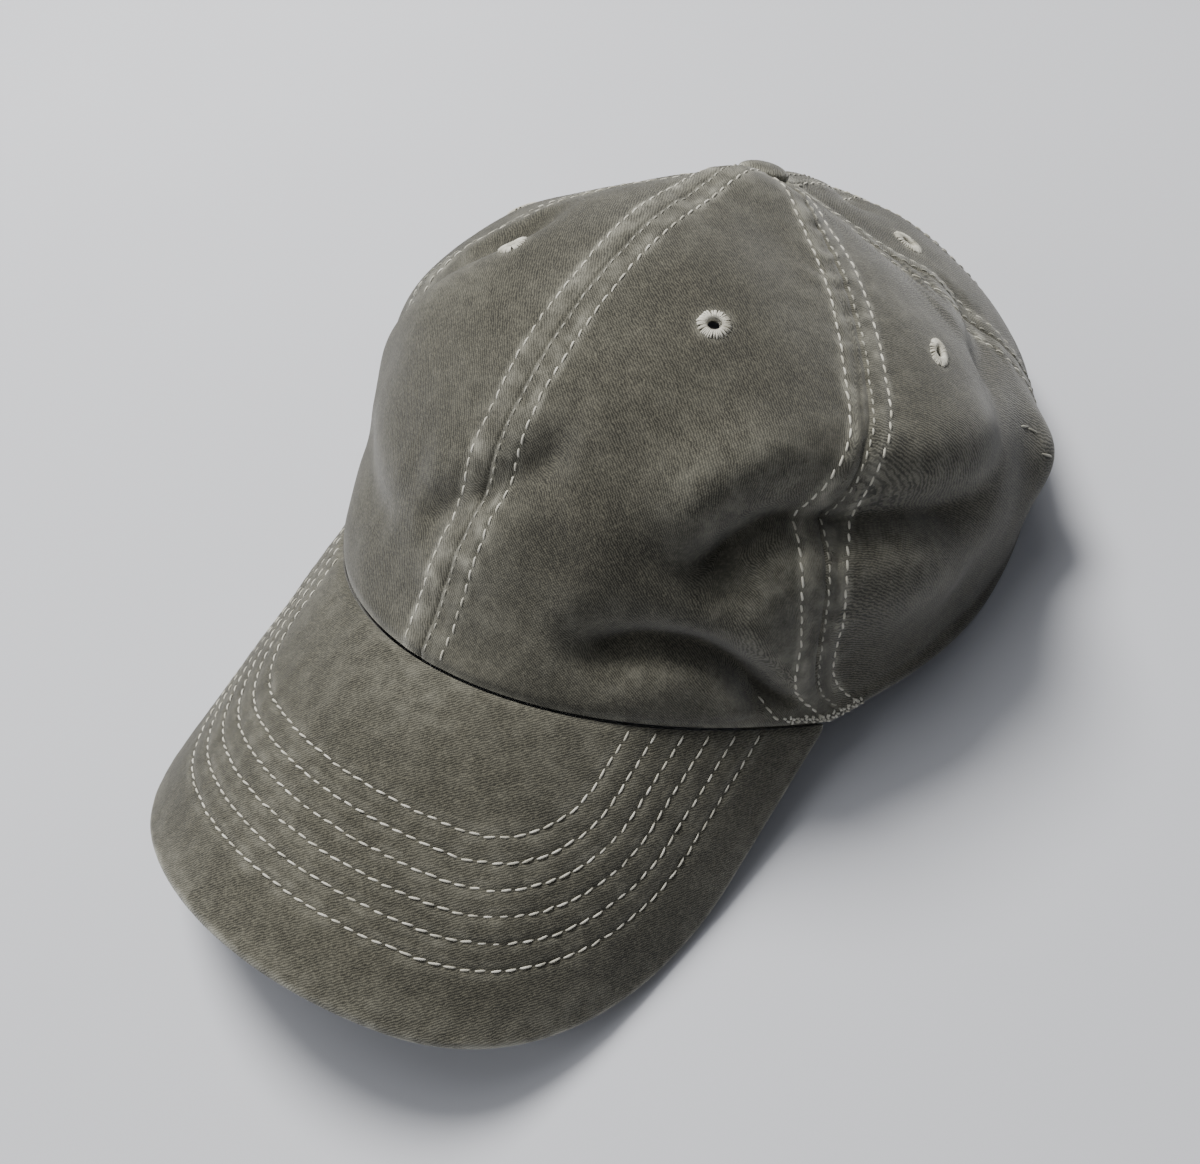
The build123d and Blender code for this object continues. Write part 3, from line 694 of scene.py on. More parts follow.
def thread_material(name, dark, light):
    """Twisted off-white cotton thread with faint soiling."""
    m = Shader(name, 0.75, Sheen_Weight=0.3, Sheen_Roughness=0.4, Specular_IOR_Level=0.3)
    place = m.place()
    soil = m.spread(m.noise(place, 300.0, 3.0), 0.35, 0.7)
    strand = m.noise(place, 3200.0, 1.0)
    colour = m.mix(m.math("MULTIPLY_ADD", soil, 0.7, m.math("MULTIPLY", strand, 0.3)), dark, light)
    return m.finish(colour, m.bump(strand, 0.5, 0.00012))


# The threads' spacing in tape, sweatband and label cloth.
PLAIN_WEAVE_PITCH = 0.6


def plain_weave(name, dark, light):
    """Tape, sweatband and label cloth: an even over-and-under weave."""
    m = Shader(name, 0.95, Sheen_Weight=0.2, Sheen_Roughness=0.6, Specular_IOR_Level=0.2)
    place = m.place()
    split = m.node("ShaderNodeSeparateXYZ", {0: m.attribute("weave", "Vector")})
    warp = m.math("SINE", m.math("MULTIPLY", split.outputs[0], 2 * np.pi / PLAIN_WEAVE_PITCH))
    weft = m.math("SINE", m.math("MULTIPLY", split.outputs[1], 2 * np.pi / PLAIN_WEAVE_PITCH))
    check = m.math("MULTIPLY_ADD", m.math("MULTIPLY", warp, weft), 0.5, 0.5)
    blotch = m.spread(m.noise(place, 70.0, 4.0), 0.35, 0.7)
    fleck = m.noise(place, 1500.0, 2.0)
    mottle = m.math("MULTIPLY_ADD", fleck, 0.35, m.math("MULTIPLY", blotch, 0.35))
    tone = m.math("MULTIPLY_ADD", check, 0.35, mottle)
    colour = m.mix(tone, dark, light)
    height = m.math("ADD", check, fleck)
    return m.finish(colour, m.bump(height, 0.4, 0.00015))


def metal_material(name, dark, light, roughness):
    """Brushed plated metal with worn edges and fine scratches."""
    m = Shader(name, roughness, Metallic=1.0)
    place = m.place()
    stretched = m.node("ShaderNodeMapping", {"Vector": place, "Scale": (90.0, 2400.0, 2400.0)}).outputs[0]
    brushed = m.noise(stretched, 1.0, 3.0)
    patina = m.spread(m.noise(place, 240.0, 4.0, 0.5), 0.35, 0.7)
    edge = m.node("ShaderNodeNewGeometry").outputs["Pointiness"]
    rubbed = m.spread(edge, 0.51, 0.56)
    tone = m.math("MAXIMUM", m.math("MULTIPLY_ADD", patina, 0.6, m.math("MULTIPLY", brushed, 0.3)), rubbed)
    rough = m.math("MULTIPLY_ADD", brushed, 0.25, roughness - 0.1)
    return m.finish(m.mix(tone, dark, light), m.bump(brushed, 0.2, 0.00008), rough)


def board_material():
    """Moulded brim board, milky and slightly mottled."""
    m = Shader("brim_board", 0.45, Specular_IOR_Level=0.4)
    place = m.place()
    mottle = m.spread(m.noise(place, 60.0, 4.0), 0.35, 0.7)
    grain = m.noise(place, 900.0, 2.0)
    return m.finish(m.mix(mottle, rgb(0.60, 0.60, 0.56), rgb(0.74, 0.74, 0.70)), m.bump(grain, 0.2, 0.0002))


def floor_material():
    m = Shader("floor", 0.9, Specular_IOR_Level=0.2)
    tone = m.spread(m.noise(m.place(), 3.0, 3.0), 0.3, 0.7)
    return m.finish(m.mix(tone, rgb(0.60, 0.61, 0.65), rgb(0.64, 0.65, 0.69)))


OLIVE_DARK = rgb(0.016, 0.0150, 0.0100)
OLIVE_LIGHT = rgb(0.170, 0.160, 0.118)
OLIVE_FADED = rgb(0.36, 0.35, 0.29)
crown_cloth = twill("crown_twill", OLIVE_DARK, OLIVE_LIGHT, OLIVE_FADED)
brim_cloth = twill("brim_twill", OLIVE_DARK, OLIVE_LIGHT, OLIVE_FADED, contrast=1.1)
strap_cloth = twill("strap_twill", OLIVE_DARK, OLIVE_LIGHT, OLIVE_FADED, pitch=0.45)
thread_cloth = thread_material("thread", rgb(0.42, 0.40, 0.32), rgb(0.78, 0.76, 0.68))
dull_thread = thread_material("dull_thread", rgb(0.24, 0.23, 0.19), rgb(0.50, 0.49, 0.42))
tape_cloth = plain_weave("seam_tape", rgb(0.05, 0.05, 0.042), rgb(0.15, 0.145, 0.12))
band_cloth = plain_weave("sweatband_cloth", rgb(0.06, 0.056, 0.043), rgb(0.17, 0.16, 0.125))
label_weave = plain_weave("label_cloth", rgb(0.45, 0.44, 0.40), rgb(0.66, 0.65, 0.60))
buckle_metal = metal_material("buckle_metal", rgb(0.16, 0.13, 0.09), rgb(0.52, 0.46, 0.36), 0.38)
rivet_metal = metal_material("rivet_metal", rgb(0.30, 0.30, 0.30), rgb(0.62, 0.62, 0.62), 0.35)

NODE_MATERIALS = {
    "buckle_frame": buckle_metal,
    "buckle_pin": buckle_metal,
    "buckle_lever": buckle_metal,
    "button_rivet": rivet_metal,
    "brim_board": board_material(),
}
for node, material in NODE_MATERIALS.items():
    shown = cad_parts[node]
    shown.data.materials.clear()
    shown.data.materials.append(material)


# ------------------------------------------------------------------ crown relief
def seam_relief(turn, climb):
    """Height of the lapped, stitched seams above the plain cloth, and how worn they are."""
    height = np.zeros(np.broadcast(turn, climb).shape)
    worn = np.zeros(height.shape)
    scale = mm_per_degree(turn, climb)
    for number, seam in enumerate(SEAM_TURNS):
        off = ((turn - seam + 180.0) % 360.0 - 180.0) * scale
        away = np.abs(off)
        along = np.stack([climb + 0 * off, off * 0.35 + 0 * climb], -1)
        pucker = ripple(20 + number, along, 4.6) * bell(away, 7.0)
        lap = smooth((SEAM_ROW + 1.1 - away) / 1.1)
        height += 0.36 * lap
        height -= 0.28 * bell(away - SEAM_ROW, 0.5)
        height -= 0.34 * bell(away, 0.5)
        height += 0.13 * pucker * lap
        height += 0.10 * ripple(40 + number, along, 6.5) * bell(away - SEAM_ROW - 2.0, 2.6)
        rub = 0.5 * bell(away - SEAM_ROW - 0.6, 0.7) + 0.35 * bell(away - SEAM_ROW + 1.2, 1.0)
        worn += rub * (0.6 + 0.5 * ripple(60 + number, along, 9.0)) + 0.13 * lap * (1 + pucker)
        worn += 0.10 * bell(away, 13.0)
    return height, worn


def panel_wear(turn, climb):
    """Fading on the cloth's raised parts, from how far it stands out from its surroundings."""
    points = crown(turn, climb)
    outward = (points - lining(turn, climb)) * unit(read_grid(outer_normals, turn, climb))
    stand = outward.sum(axis=-1)
    return 0.04 + 0.05 * np.clip(stand - 1.0, 0, 4) + 0.05 * np.clip(ripple(80, points, 34.0), -1, 1.5)


PANEL_COLUMNS = 109
PANEL_ROWS = 180
# The seam each panel starts at. Every panel spans 60 degrees of turn.
PANEL_STARTS = {"front": 0.0, "side": 60.0, "back": 120.0}
HALF_PANEL = 30.0
# Share of a back panel's columns that start at the band, beside the rear opening.
BACK_FLAT_SHARE = 0.42
# The panels' cloth is cut away this far round an eyelet's centre.
EYELET_CUT_RADIUS = 2.4


def crowded_ends(count):
    """Steps from -1 to 1, closer together at both ends."""
    steps = np.linspace(-1, 1, count)
    return steps * (1 + 0.25 * (1 - steps * steps))


# The rear opening's edge is looked for within this turn of the rear seam and this climb from the band.
ARCH_SEARCH_TURN = 42.0
ARCH_SEARCH_CLIMB = 90.0


def arch_outline(margin=0.0):
    """Turn and climb along the rear opening's edge, from its left foot to its crest."""
    turns = 180.0 - np.linspace(ARCH_SEARCH_TURN, 0.0, 800)
    climbs = np.linspace(0.0, ARCH_SEARCH_CLIMB, 361)
    points = lining(turns[:, None], climbs[None])
    share = np.abs(points[..., 0]) / (ARCH_HALF_WIDTH + margin)
    level = (ARCH_HEIGHT + margin) * np.sqrt(np.clip(1 - share**2, 0, 1))
    above = points[..., 2] > np.where(share < 1, level, -1.0)
    first = np.argmax(above, axis=1)
    edge = climbs[first]
    for row in np.flatnonzero(first > 0):
        k = first[row]
        low, high = (points[row, j, 2] - level[row, j] for j in (k - 1, k))
        edge[row] = climbs[k - 1] + (climbs[1] - climbs[0]) * (-low / max(high - low, 1e-6))
    start = max(int(np.argmax(edge > 0)) - 1, 0)
    return turns[start:], np.maximum(edge[start:], 0.0)


def even_line(turns, climbs, count):
    """The same line resampled to even steps."""
    points = lining(turns, climbs)
    reached = np.concatenate([[0], np.cumsum(np.linalg.norm(np.diff(points, axis=0), axis=-1))])
    at = np.linspace(0, reached[-1], count)
    return np.interp(at, reached, turns), np.interp(at, reached, climbs)


def panel_coordinates(panel, side):
    """Turn and climb of every grid point of a panel; side is 1 on the left, -1 on the right."""
    first = PANEL_STARTS[panel]
    columns = first + HALF_PANEL + HALF_PANEL * crowded_ends(PANEL_COLUMNS)
    rows = np.linspace(0.0, 1.0, PANEL_ROWS) ** 1.05
    if panel != "back":
        turn = np.repeat(columns[:, None], PANEL_ROWS, 1)
        return side * turn, rows * (meridian_top(side * turn) - PANEL_TOP_CLEAR)
    edge_turn, edge_climb = arch_outline()
    flat_count = int(PANEL_COLUMNS * BACK_FLAT_SHARE)
    arch_turn, arch_climb = even_line(edge_turn, edge_climb, PANEL_COLUMNS - flat_count)
    flat_turn = np.linspace(first, arch_turn[0], flat_count + 1)[:-1]
    low_turn = np.concatenate([flat_turn, arch_turn])[:, None]
    low_climb = np.concatenate([np.zeros(flat_count), arch_climb])[:, None]
    turn = low_turn + (columns[:, None] - low_turn) * smooth(rows)
    top = meridian_top(side * turn) - PANEL_TOP_CLEAR
    return side * turn, low_climb + (top - low_climb) * rows


def build_panel(panel, side):
    name = f"{panel}_panel_{'left' if side > 0 else 'right'}"
    turn, climb = panel_coordinates(panel, side)
    height, worn = seam_relief(turn, climb)
    tuck = 0.9 * bell(climb, 1.2) * (panel != "back")
    outer = crown(turn, climb, tuck - height)
    inner = crown(turn, climb, PANEL_THICKNESS + 0.3 * tuck)
    middle = side * (PANEL_STARTS[panel] + HALF_PANEL)
    pattern = np.stack([(turn - middle) * mm_per_degree(turn, climb), climb], -1)
    eyelet_turn, eyelet_climb = EYELETS[panel]
    distance = np.hypot((turn - side * eyelet_turn) * mm_per_degree(turn, climb), climb - eyelet_climb)
    worn = worn + panel_wear(turn, climb) + 0.3 * bell(distance - EYELET_RADIUS, 1.0)
    worn = np.clip(worn + 0.5 * bell(climb, 1.0), 0, 1.3)
    cells = (distance[1:, 1:] + distance[:-1, :-1] + distance[1:, :-1] + distance[:-1, 1:]) / 4
    kept = cells > EYELET_CUT_RADIUS
    piece = cloth_piece(f"{name}_cloth", outer, inner, pattern, worn, crown_cloth, kept)
    declare_sheet(name, pattern)


for panel in EYELETS:
    for side in (1, -1):
        build_panel(panel, side)


# -------------------------------------------------------------- seam stitching
def line_on_crown(turns, climbs):
    """Points and normals along a line on the cloth, on top of the seam relief."""
    turns, climbs = np.broadcast_arrays(np.asarray(turns, float), np.asarray(climbs, float))
    normals = unit(read_grid(outer_normals, turns, climbs))
    return read_grid(outer_grid, turns, climbs) + normals * seam_relief(turns, climbs)[0][..., None], normals


def beside_seam(seam, offset, climbs):
    """Turns and climbs of the points that lie a distance to one side of a seam's own points."""
    share = climbs / meridian_top(seam)
    turns = seam + offset / mm_per_degree(seam, climbs)
    for _ in range(6):
        beside = seam + offset / mm_per_degree(turns, share * meridian_top(turns))
        turns = (turns + beside) / 2
    return turns, share * meridian_top(turns)


def seam_line(seam, offset, low, high):
    """A row that keeps its distance from a seam."""
    return line_on_crown(*beside_seam(seam, offset, np.linspace(low, high, 400)))


def tack_rows(seam, number):
    """The zigzag tack at a side seam's foot, and the short row that rises from its front end."""
    side = np.sign(seam)
    turns = seam + side * np.linspace(-8.5, 4.0, TACK_CORNERS)
    climbs = 2.0 + 0.9 * (-1.0) ** np.arange(TACK_CORNERS)
    rising = line_on_crown(seam - side * 9.5, np.linspace(2.0, 8.0, 9))
    zigzag = stitch_row(*line_on_crown(turns, climbs), seed=160 + number, pitch=1.45)
    return [zigzag, stitch_row(*rising, seed=170 + number, pitch=2.3)]


# The rear opening's crest, where the rear seam starts.
rear_low = float(arch_outline()[1][-1])
outer_rows, middle_rows = [], []
for number, seam in enumerate(SEAM_TURNS):
    low = rear_low + 1.0 if seam == 180.0 else 1.5
    top = float(meridian_top(seam))
    for offset in (-SEAM_ROW, SEAM_ROW):
        line = seam_line(seam, offset, low, top - 11.0)
        outer_rows.append(stitch_row(*line, seed=100 + number))
    line = seam_line(seam, MIDDLE_ROW, low, top - 12.0)
    middle_rows.append(stitch_row(*line, seed=140 + number, pitch=2.6, share=0.7))
    if abs(seam) == 60.0:
        outer_rows += tack_rows(seam, number)
sew("seam_topstitching", outer_rows, thread_cloth, radius=SEAM_THREAD)
sew("seam_middle_stitching", middle_rows, dull_thread, radius=FINE_THREAD, rise=0.08)

# Three short stitches on the wearer's left, where the cloth stands out in a peak.
PEAK_STITCHES = [
    ((101.5, 42.0), (104.5, 37.0)),
    ((103.5, 39.0), (105.5, 34.0)),
    ((103.5, 32.0), (106.0, 27.0)),
]
peak_rows = []
for number, (start, end) in enumerate(PEAK_STITCHES):
    line = line_on_crown(np.linspace(start[0], end[0], 9), np.linspace(start[1], end[1], 9))
    peak_rows.append(stitch_row(*line, seed=180 + number, pitch=5.5))
sew("peak_stitches", peak_rows, dull_thread, radius=0.3)


# -------------------------------------------------------------------- eyelets
# One thread of an eyelet: distance from its centre and height above the cloth.
EYELET_SPOKE = [
    (3.6, -0.3), (3.35, 0.16), (2.8, 0.36), (2.1, 0.42), (1.65, 0.2),
    (1.45, -0.4), (1.7, -1.1), (2.4, -1.3), (3.3, -1.1),
]
EYELET_SPOKES = 40
EYELET_THREAD = 0.23


def build_eyelet(panel, side, seed):
    """A hand-embroidered ring: threads laid outwards, through the hole and back inside."""
    name = f"{panel}_eyelet_{'left' if side > 0 else 'right'}"
    turn, climb = side * EYELETS[panel][0], EYELETS[panel][1]
    draw = np.random.default_rng(seed)
    spoke = np.array(EYELET_SPOKE)
    steps = np.arange(EYELET_SPOKES) + draw.uniform(-0.25, 0.25, EYELET_SPOKES)
    angles = 2 * np.pi * steps / EYELET_SPOKES
    reach = draw.uniform(0.93, 1.07, EYELET_SPOKES)
    paths = []
    for angle, stretch in zip(angles, reach):
        radius = EYELET_HOLE_RADIUS + (spoke[:, 0] - EYELET_HOLE_RADIUS) * stretch
        swing = angle + (spoke[:, 0] - EYELET_HOLE_RADIUS) * draw.normal(0, 0.02)
        turns = turn + radius * np.cos(swing) / mm_per_degree(turn, climb)
        climbs = climb + radius * np.sin(swing)
        normals = unit(read_grid(outer_normals, turns, climbs))
        paths.append(read_grid(outer_grid, turns, climbs) + normals * spoke[:, 1:2])
    vertices, faces = swept_tubes(paths, EYELET_THREAD)
    piece = add_piece(f"{name}_threads", vertices, faces, thread_cloth, sharp=None)
    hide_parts(name)


for number, panel in enumerate(EYELETS):
    for side in (1, -1):
        build_eyelet(panel, side, 200 + 2 * number + (side > 0))


# ----------------------------------------------------------------------- brim
BRIM_COLUMNS = 301
BRIM_DEPTHS = 150
BRIM_EDGE_RADIUS = BRIM_THICKNESS / 2
BRIM_CLOTH = 0.6


def brim_channels(inset, across, forward):
    """How far the quilted cloth stands above its plain surface, and its wear."""
    place = np.stack([across, forward], -1)
    height = 0.10 * ripple(310, place, 24.0) + 0.05 * ripple(311, place, 7.0)
    worn = 0.9 * bell(inset - 0.3, 1.1) + 0.12 * bell(inset - 3.0, 4.0)
    worn = worn + 0.05 + 0.05 * np.clip(ripple(312, place, 40.0), -1, 1.5)
    worn = worn + 0.16 * bell(across - 6.0, 34.0) * bell(forward, 26.0)
    for row in range(BRIM_ROWS):
        off = inset - BRIM_MARGIN - row * BRIM_ROW_STEP
        height = height - 0.34 * bell(off, 0.75) + 0.06 * ripple(320 + row, place, 3.4) * bell(off, 2.2)
        worn = worn + 0.13 * bell(np.abs(off) - 1.3, 0.8) * (1 + 0.5 * ripple(330 + row, place, 8.0))
    return height, np.clip(worn, 0, 1.3)


def build_brim(name, node, top):
    steps = np.linspace(-1, 1, BRIM_COLUMNS)
    across = (BRIM_HALF_PATTERN * np.sin(np.pi / 2 * steps))[:, None]
    back = brim_back(across)
    share = np.sin(np.pi / 2 * np.linspace(0, 1, BRIM_DEPTHS))[None]
    forward = back + (brim_front(across) - back) * share
    across = np.broadcast_to(across, forward.shape)
    inset = np.clip(brim_inset(across, forward), 0, None)
    height, worn = brim_channels(inset, across, forward)
    height = height * smooth(inset / 2.0)
    over_edge = np.clip(BRIM_EDGE_RADIUS - inset, 0, None)
    rounding = BRIM_EDGE_RADIUS - np.sqrt(BRIM_EDGE_RADIUS**2 - over_edge**2)
    tuck = 0.8 * bell(forward - back, 0.8)
    outside = rounding - height + tuck
    inside = np.maximum(outside + BRIM_CLOTH, np.minimum(rounding + BRIM_CLOTH, BRIM_EDGE_RADIUS))
    inside = np.minimum(inside, BRIM_EDGE_RADIUS + 0.001)
    outside = np.minimum(outside, BRIM_EDGE_RADIUS)
    if not top:
        outside, inside = BRIM_THICKNESS - outside, BRIM_THICKNESS - inside
    pattern = np.stack([across, forward], -1)
    piece = cloth_piece(
        name, brim_point(across, forward, outside), brim_point(across, forward, inside),
        pattern, worn, brim_cloth,
    )
    declare_sheet(node, pattern)


build_brim("brim_top_cloth", "brim_cover_top", True)
build_brim("brim_bottom_cloth", "brim_cover_bottom", False)


def brim_row(inset, depth, count=500):
    """Points and normals of a row parallel to the brim's outer edge."""
    corner, front = BRIM_CORNER_RADIUS - inset, BRIM_FRONT_RADIUS - inset
    side = BRIM_HALF_PATTERN - inset
    back = float(brim_back(np.array(side)))
    front_angles = np.linspace(0, BRIM_FRONT_ARC, count)
    corner_angles = np.linspace(BRIM_FRONT_ARC, np.pi / 2, count)
    across = np.concatenate([
        front * np.sin(front_angles),
        BRIM_CORNER_U + corner * np.sin(corner_angles),
        np.full(count, side),
    ])
    forward = np.concatenate([
        BRIM_FRONT_CENTRE + front * np.cos(front_angles),
        BRIM_CORNER_V + corner * np.cos(corner_angles),
        np.linspace(BRIM_CORNER_V, back + 1.0, count),
    ])
    across = np.concatenate([-across[::-1], across])
    forward = np.concatenate([forward[::-1], forward])
    kept = forward > brim_back(across) + 0.6
    points = brim_point(across[kept], forward[kept], depth)
    deeper = brim_point(across[kept], forward[kept], depth + 1.0)
    sense = 1.0 if depth < BRIM_THICKNESS / 2 else -1.0
    return points, unit(points - deeper) * sense


BRIM_STITCH_DEPTH = 0.26
brim_rows = []
for row in range(BRIM_ROWS):
    inset = BRIM_MARGIN + row * BRIM_ROW_STEP
    for depth, seed in ((BRIM_STITCH_DEPTH, 400), (BRIM_THICKNESS - BRIM_STITCH_DEPTH, 420)):
        brim_rows.append(stitch_row(*brim_row(inset, depth), seed=seed + row, slant=5.0))
sew("brim_topstitching", brim_rows, thread_cloth, radius=FINE_THREAD)


# ------------------------------------------------------------------ top button
# The button's covered face: step, distance from its centre and height above the crown's top.
BUTTON_PROFILE = [
    (0, 0.05, 1.3), (1, 2.2, 1.2), (2, 4.2, 0.7),
    (3, 5.6, -0.1), (4, 6.2, -0.9), (5, 6.0, -1.7),
]


def build_button():
    """A cloth-covered disc on the crown's top."""
    tip = radians((BUTTON_SLOPE[-1] - BUTTON_SLOPE[0]) / 2)
    up = np.array([0.0, np.sin(tip), np.cos(tip)])
    across = np.array([1.0, 0.0, 0.0])
    along = np.cross(up, across)
    origin = np.array([0.0, BUTTON_Y, BUTTON_HEIGHT])
    angles = np.linspace(0, 2 * np.pi, 73)
    profile = through(BUTTON_PROFILE, np.linspace(0, 5, 26))
    gather = 1 + 0.012 * np.sin(angles * 18)[:, None] * smooth((profile[:, 0] - 3.5) / 3.0)
    radius = profile[:, 0] * gather
    height = profile[:, 1] + 0.06 * np.sin(angles * 18)[:, None] * smooth((profile[:, 0] - 3.0) / 3.0)
    spokes = across * np.cos(angles)[:, None] + along * np.sin(angles)[:, None]
    outer = origin + spokes[:, None] * radius[..., None] + up * height[..., None]
    inner = origin + spokes[:, None] * (radius * 0.93)[..., None] + up * (height - 0.35)[..., None]
    pattern = radius[..., None] * np.stack([np.cos(angles), np.sin(angles)], -1)[:, None]
    worn = 0.25 + 0.6 * bell(radius - 5.8, 1.0)
    piece = cloth_piece("top_button_cloth", outer, inner, pattern, worn, crown_cloth)
    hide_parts("button_cover")


build_button()


# --------------------------------------------------------- tapes and sweatband
# Depths are measured from the crown's inner surface grid towards the head.
TAPE_HALF_WIDTH = 6.0
TAPE_THICKNESS = 0.5
TAPE_DEPTH = 1.35
TAPE_TOP_CLEAR = 14.0
SWEATBAND_END_TURN = 133.0
SWEATBAND_TOP = 32.0
SWEATBAND_DEPTH = 2.45
SWEATBAND_THICKNESS = 1.05
LABEL_DEPTHS = (3.85, 4.25)
# The binding lies between these distances from the opening's edge, and is this size when laid flat.
BINDING_MARGINS = (0.3, 8.0)
BINDING_LENGTH = 150.0
BINDING_WIDTH = 10.1
ARCH_ROW_MARGINS = (1.6, 7.0)


def lining_strip(name, node, turn, climb, depths, pattern, material):
    """A strip of cloth inside the crown, between two depths, that stands for a CAD node."""
    outer, inner = (lining(turn, climb, depth + 0 * turn) for depth in depths)
    piece = cloth_piece(name, outer, inner, pattern, 0 * turn, material)
    declare_sheet(node, pattern)


def build_tape(seam_name, seam, low):
    """The tape that covers a seam on the inside."""
    name = f"seam_tape_{seam_name}"
    climbs = np.linspace(low, float(meridian_top(seam)) - TAPE_TOP_CLEAR, 150)[None]
    across = np.linspace(-TAPE_HALF_WIDTH, TAPE_HALF_WIDTH, 13)[:, None]
    turn, climb = beside_seam(seam, across, climbs)
    pattern = np.stack(np.broadcast_arrays(across, climbs), -1)
    depth = TAPE_DEPTH + 0.12 * ripple(500 + int(abs(seam)), pattern, 9.0)
    depths = (depth, depth + TAPE_THICKNESS)
    lining_strip(f"{name}_cloth", name, turn, climb, depths, pattern, tape_cloth)


# Each tape: its seam, and the climb where it starts.
TAPES = {
    "front": (0.0, 0.6),
    "side_left": (60.0, 0.6),
    "side_right": (-60.0, 0.6),
    "back_left": (120.0, 0.6),
    "back_right": (-120.0, 0.6),
    "rear": (180.0, rear_low + 10.0),
}
for seam_name, (seam, low) in TAPES.items():
    build_tape(seam_name, seam, low)


def build_sweatband():
    """The band inside the crown's foot, slightly puckered, with a rounded top edge."""
    turns = np.linspace(-SWEATBAND_END_TURN, SWEATBAND_END_TURN, 420)[:, None]
    turn, climb = np.broadcast_arrays(turns, np.linspace(0.4, SWEATBAND_TOP, 40)[None])
    pattern = np.stack([turn * MM_PER_DEGREE, climb], -1)
    pucker = 0.16 * ripple(520, pattern, 8.0) * bell(climb - 3.0, 8.0) + 0.12 * ripple(521, pattern, 26.0)
    depth = SWEATBAND_DEPTH + pucker
    roll = 0.5 * bell(climb - SWEATBAND_TOP, 1.0)
    depths = (depth + roll, depth + SWEATBAND_THICKNESS - roll)
    lining_strip("sweatband_lining", "sweatband", turn, climb, depths, pattern, band_cloth)


def build_label():
    """A blank woven label on the sweatband."""
    turns, climbs = np.linspace(106.0, 124.0, 40), np.linspace(7.0, 25.0, 26)
    turn, climb = np.broadcast_arrays(turns[:, None], climbs[None])
    pattern = np.stack([turn * MM_PER_DEGREE, climb], -1)
    name, node = "inner_label_cloth", "inner_label"
    lining_strip(name, node, turn, climb, LABEL_DEPTHS, pattern, label_weave)


def both_sides(turns, climbs):
    """A line up the left half of the rear opening, carried on down the right half."""
    turns = np.concatenate([turns, 360.0 - turns[-2::-1]])
    climbs = np.concatenate([climbs, climbs[-2::-1]])
    return np.stack([turns, climbs])[..., None]


def build_arch_binding():
    """The tape round the rear opening's edge, on the inside."""
    inner, outer = (both_sides(*even_line(*arch_outline(margin), 120)) for margin in BINDING_MARGINS)
    share = np.linspace(0, 1, 13)[None]
    turn, climb = inner + (outer - inner) * share
    along = np.linspace(0, BINDING_LENGTH, len(turn))[:, None]
    pattern = np.stack(np.broadcast_arrays(along, share * BINDING_WIDTH), -1)
    depths = (TAPE_DEPTH, TAPE_DEPTH + TAPE_THICKNESS)
    lining_strip("arch_binding_tape", "arch_binding", turn, climb, depths, pattern, tape_cloth)


build_sweatband()
build_label()
build_arch_binding()

arch_rows = []
for number, margin in enumerate(ARCH_ROW_MARGINS):
    edge_turn, edge_climb = even_line(*arch_outline(margin), 300)
    for side in (1, -1):
        row = line_on_crown(side * edge_turn, edge_climb + 0.4)
        arch_rows.append(stitch_row(*row, seed=600 + 2 * number + side))
sew("arch_topstitching", arch_rows, thread_cloth, radius=SEAM_THREAD)


# ------------------------------------------------------------- strap and buckle
BAR_X = -12.3
BAR_TURN = 180.0 + np.degrees(BAR_X / BAND_HALF_WIDTH)
# How far inside the smooth crown the strap and its tab run: where they are sewn, at the rear, at the
# strap's tail beyond the buckle, and at the buckle's bar.
SEWN_DEPTH = 3.3
REAR_DEPTH = 5.0
TAIL_DEPTH = 6.5
BAR_DEPTH = 2.3
STRAP_SINK_TURN = 184.0
STRAP_SINK_SPAN = 20.0
TAB_RISE_TURN = 150.0
STRAP_THREAD = 0.26


def strap_depth(turn):
    """How deep the strap's outer face lies at each turn."""
    sewn = REAR_DEPTH + (SEWN_DEPTH - REAR_DEPTH) * smooth((turn - STRAP_SINK_TURN) / STRAP_SINK_SPAN)
    tail = REAR_DEPTH + (TAIL_DEPTH - REAR_DEPTH) * smooth((180.0 - turn) / (180.0 - BAR_TURN))
    return np.where(turn > 180.0, sewn, tail)


def tab_depth(turn):
    """How deep the tab's outer face lies at each turn."""
    return SEWN_DEPTH + (BAR_DEPTH - SEWN_DEPTH) * smooth((turn - TAB_RISE_TURN) / (BAR_TURN - TAB_RISE_TURN))


def strap_place(turn):
    """Origin, upward and outward directions of the plane the flat strap lies in, at each turn."""
    turn = (turn + 180.0) % 360.0 - 180.0
    columns = ((turn + 180.0) * 2).astype(int) % 720
    shares = [STRAP_CLIMB / meridian_top(single) for single in turn]
    at = np.array([np.interp(share, grid_share[0], cubic_share[k]) for share, k in zip(shares, columns)])
    origin = smooth_crown(turn, at)
    up = unit(smooth_crown(turn, at + 0.01) - smooth_crown(turn, at - 0.01))
    around = unit(smooth_crown(turn + 0.2, at) - smooth_crown(turn - 0.2, at))
    return origin, up, unit(np.cross(around, up))


def strap_cloth_grid(turns, depths, across, extra):
    """The strap's points at each turn and distance across it, sunk by the depths and the extra depth."""
    origin, up, out = strap_place(turns)
    inward = (depths[:, None] + extra[None])[..., None]
    return origin[:, None] + up[:, None] * across[None, :, None] - out[:, None] * inward


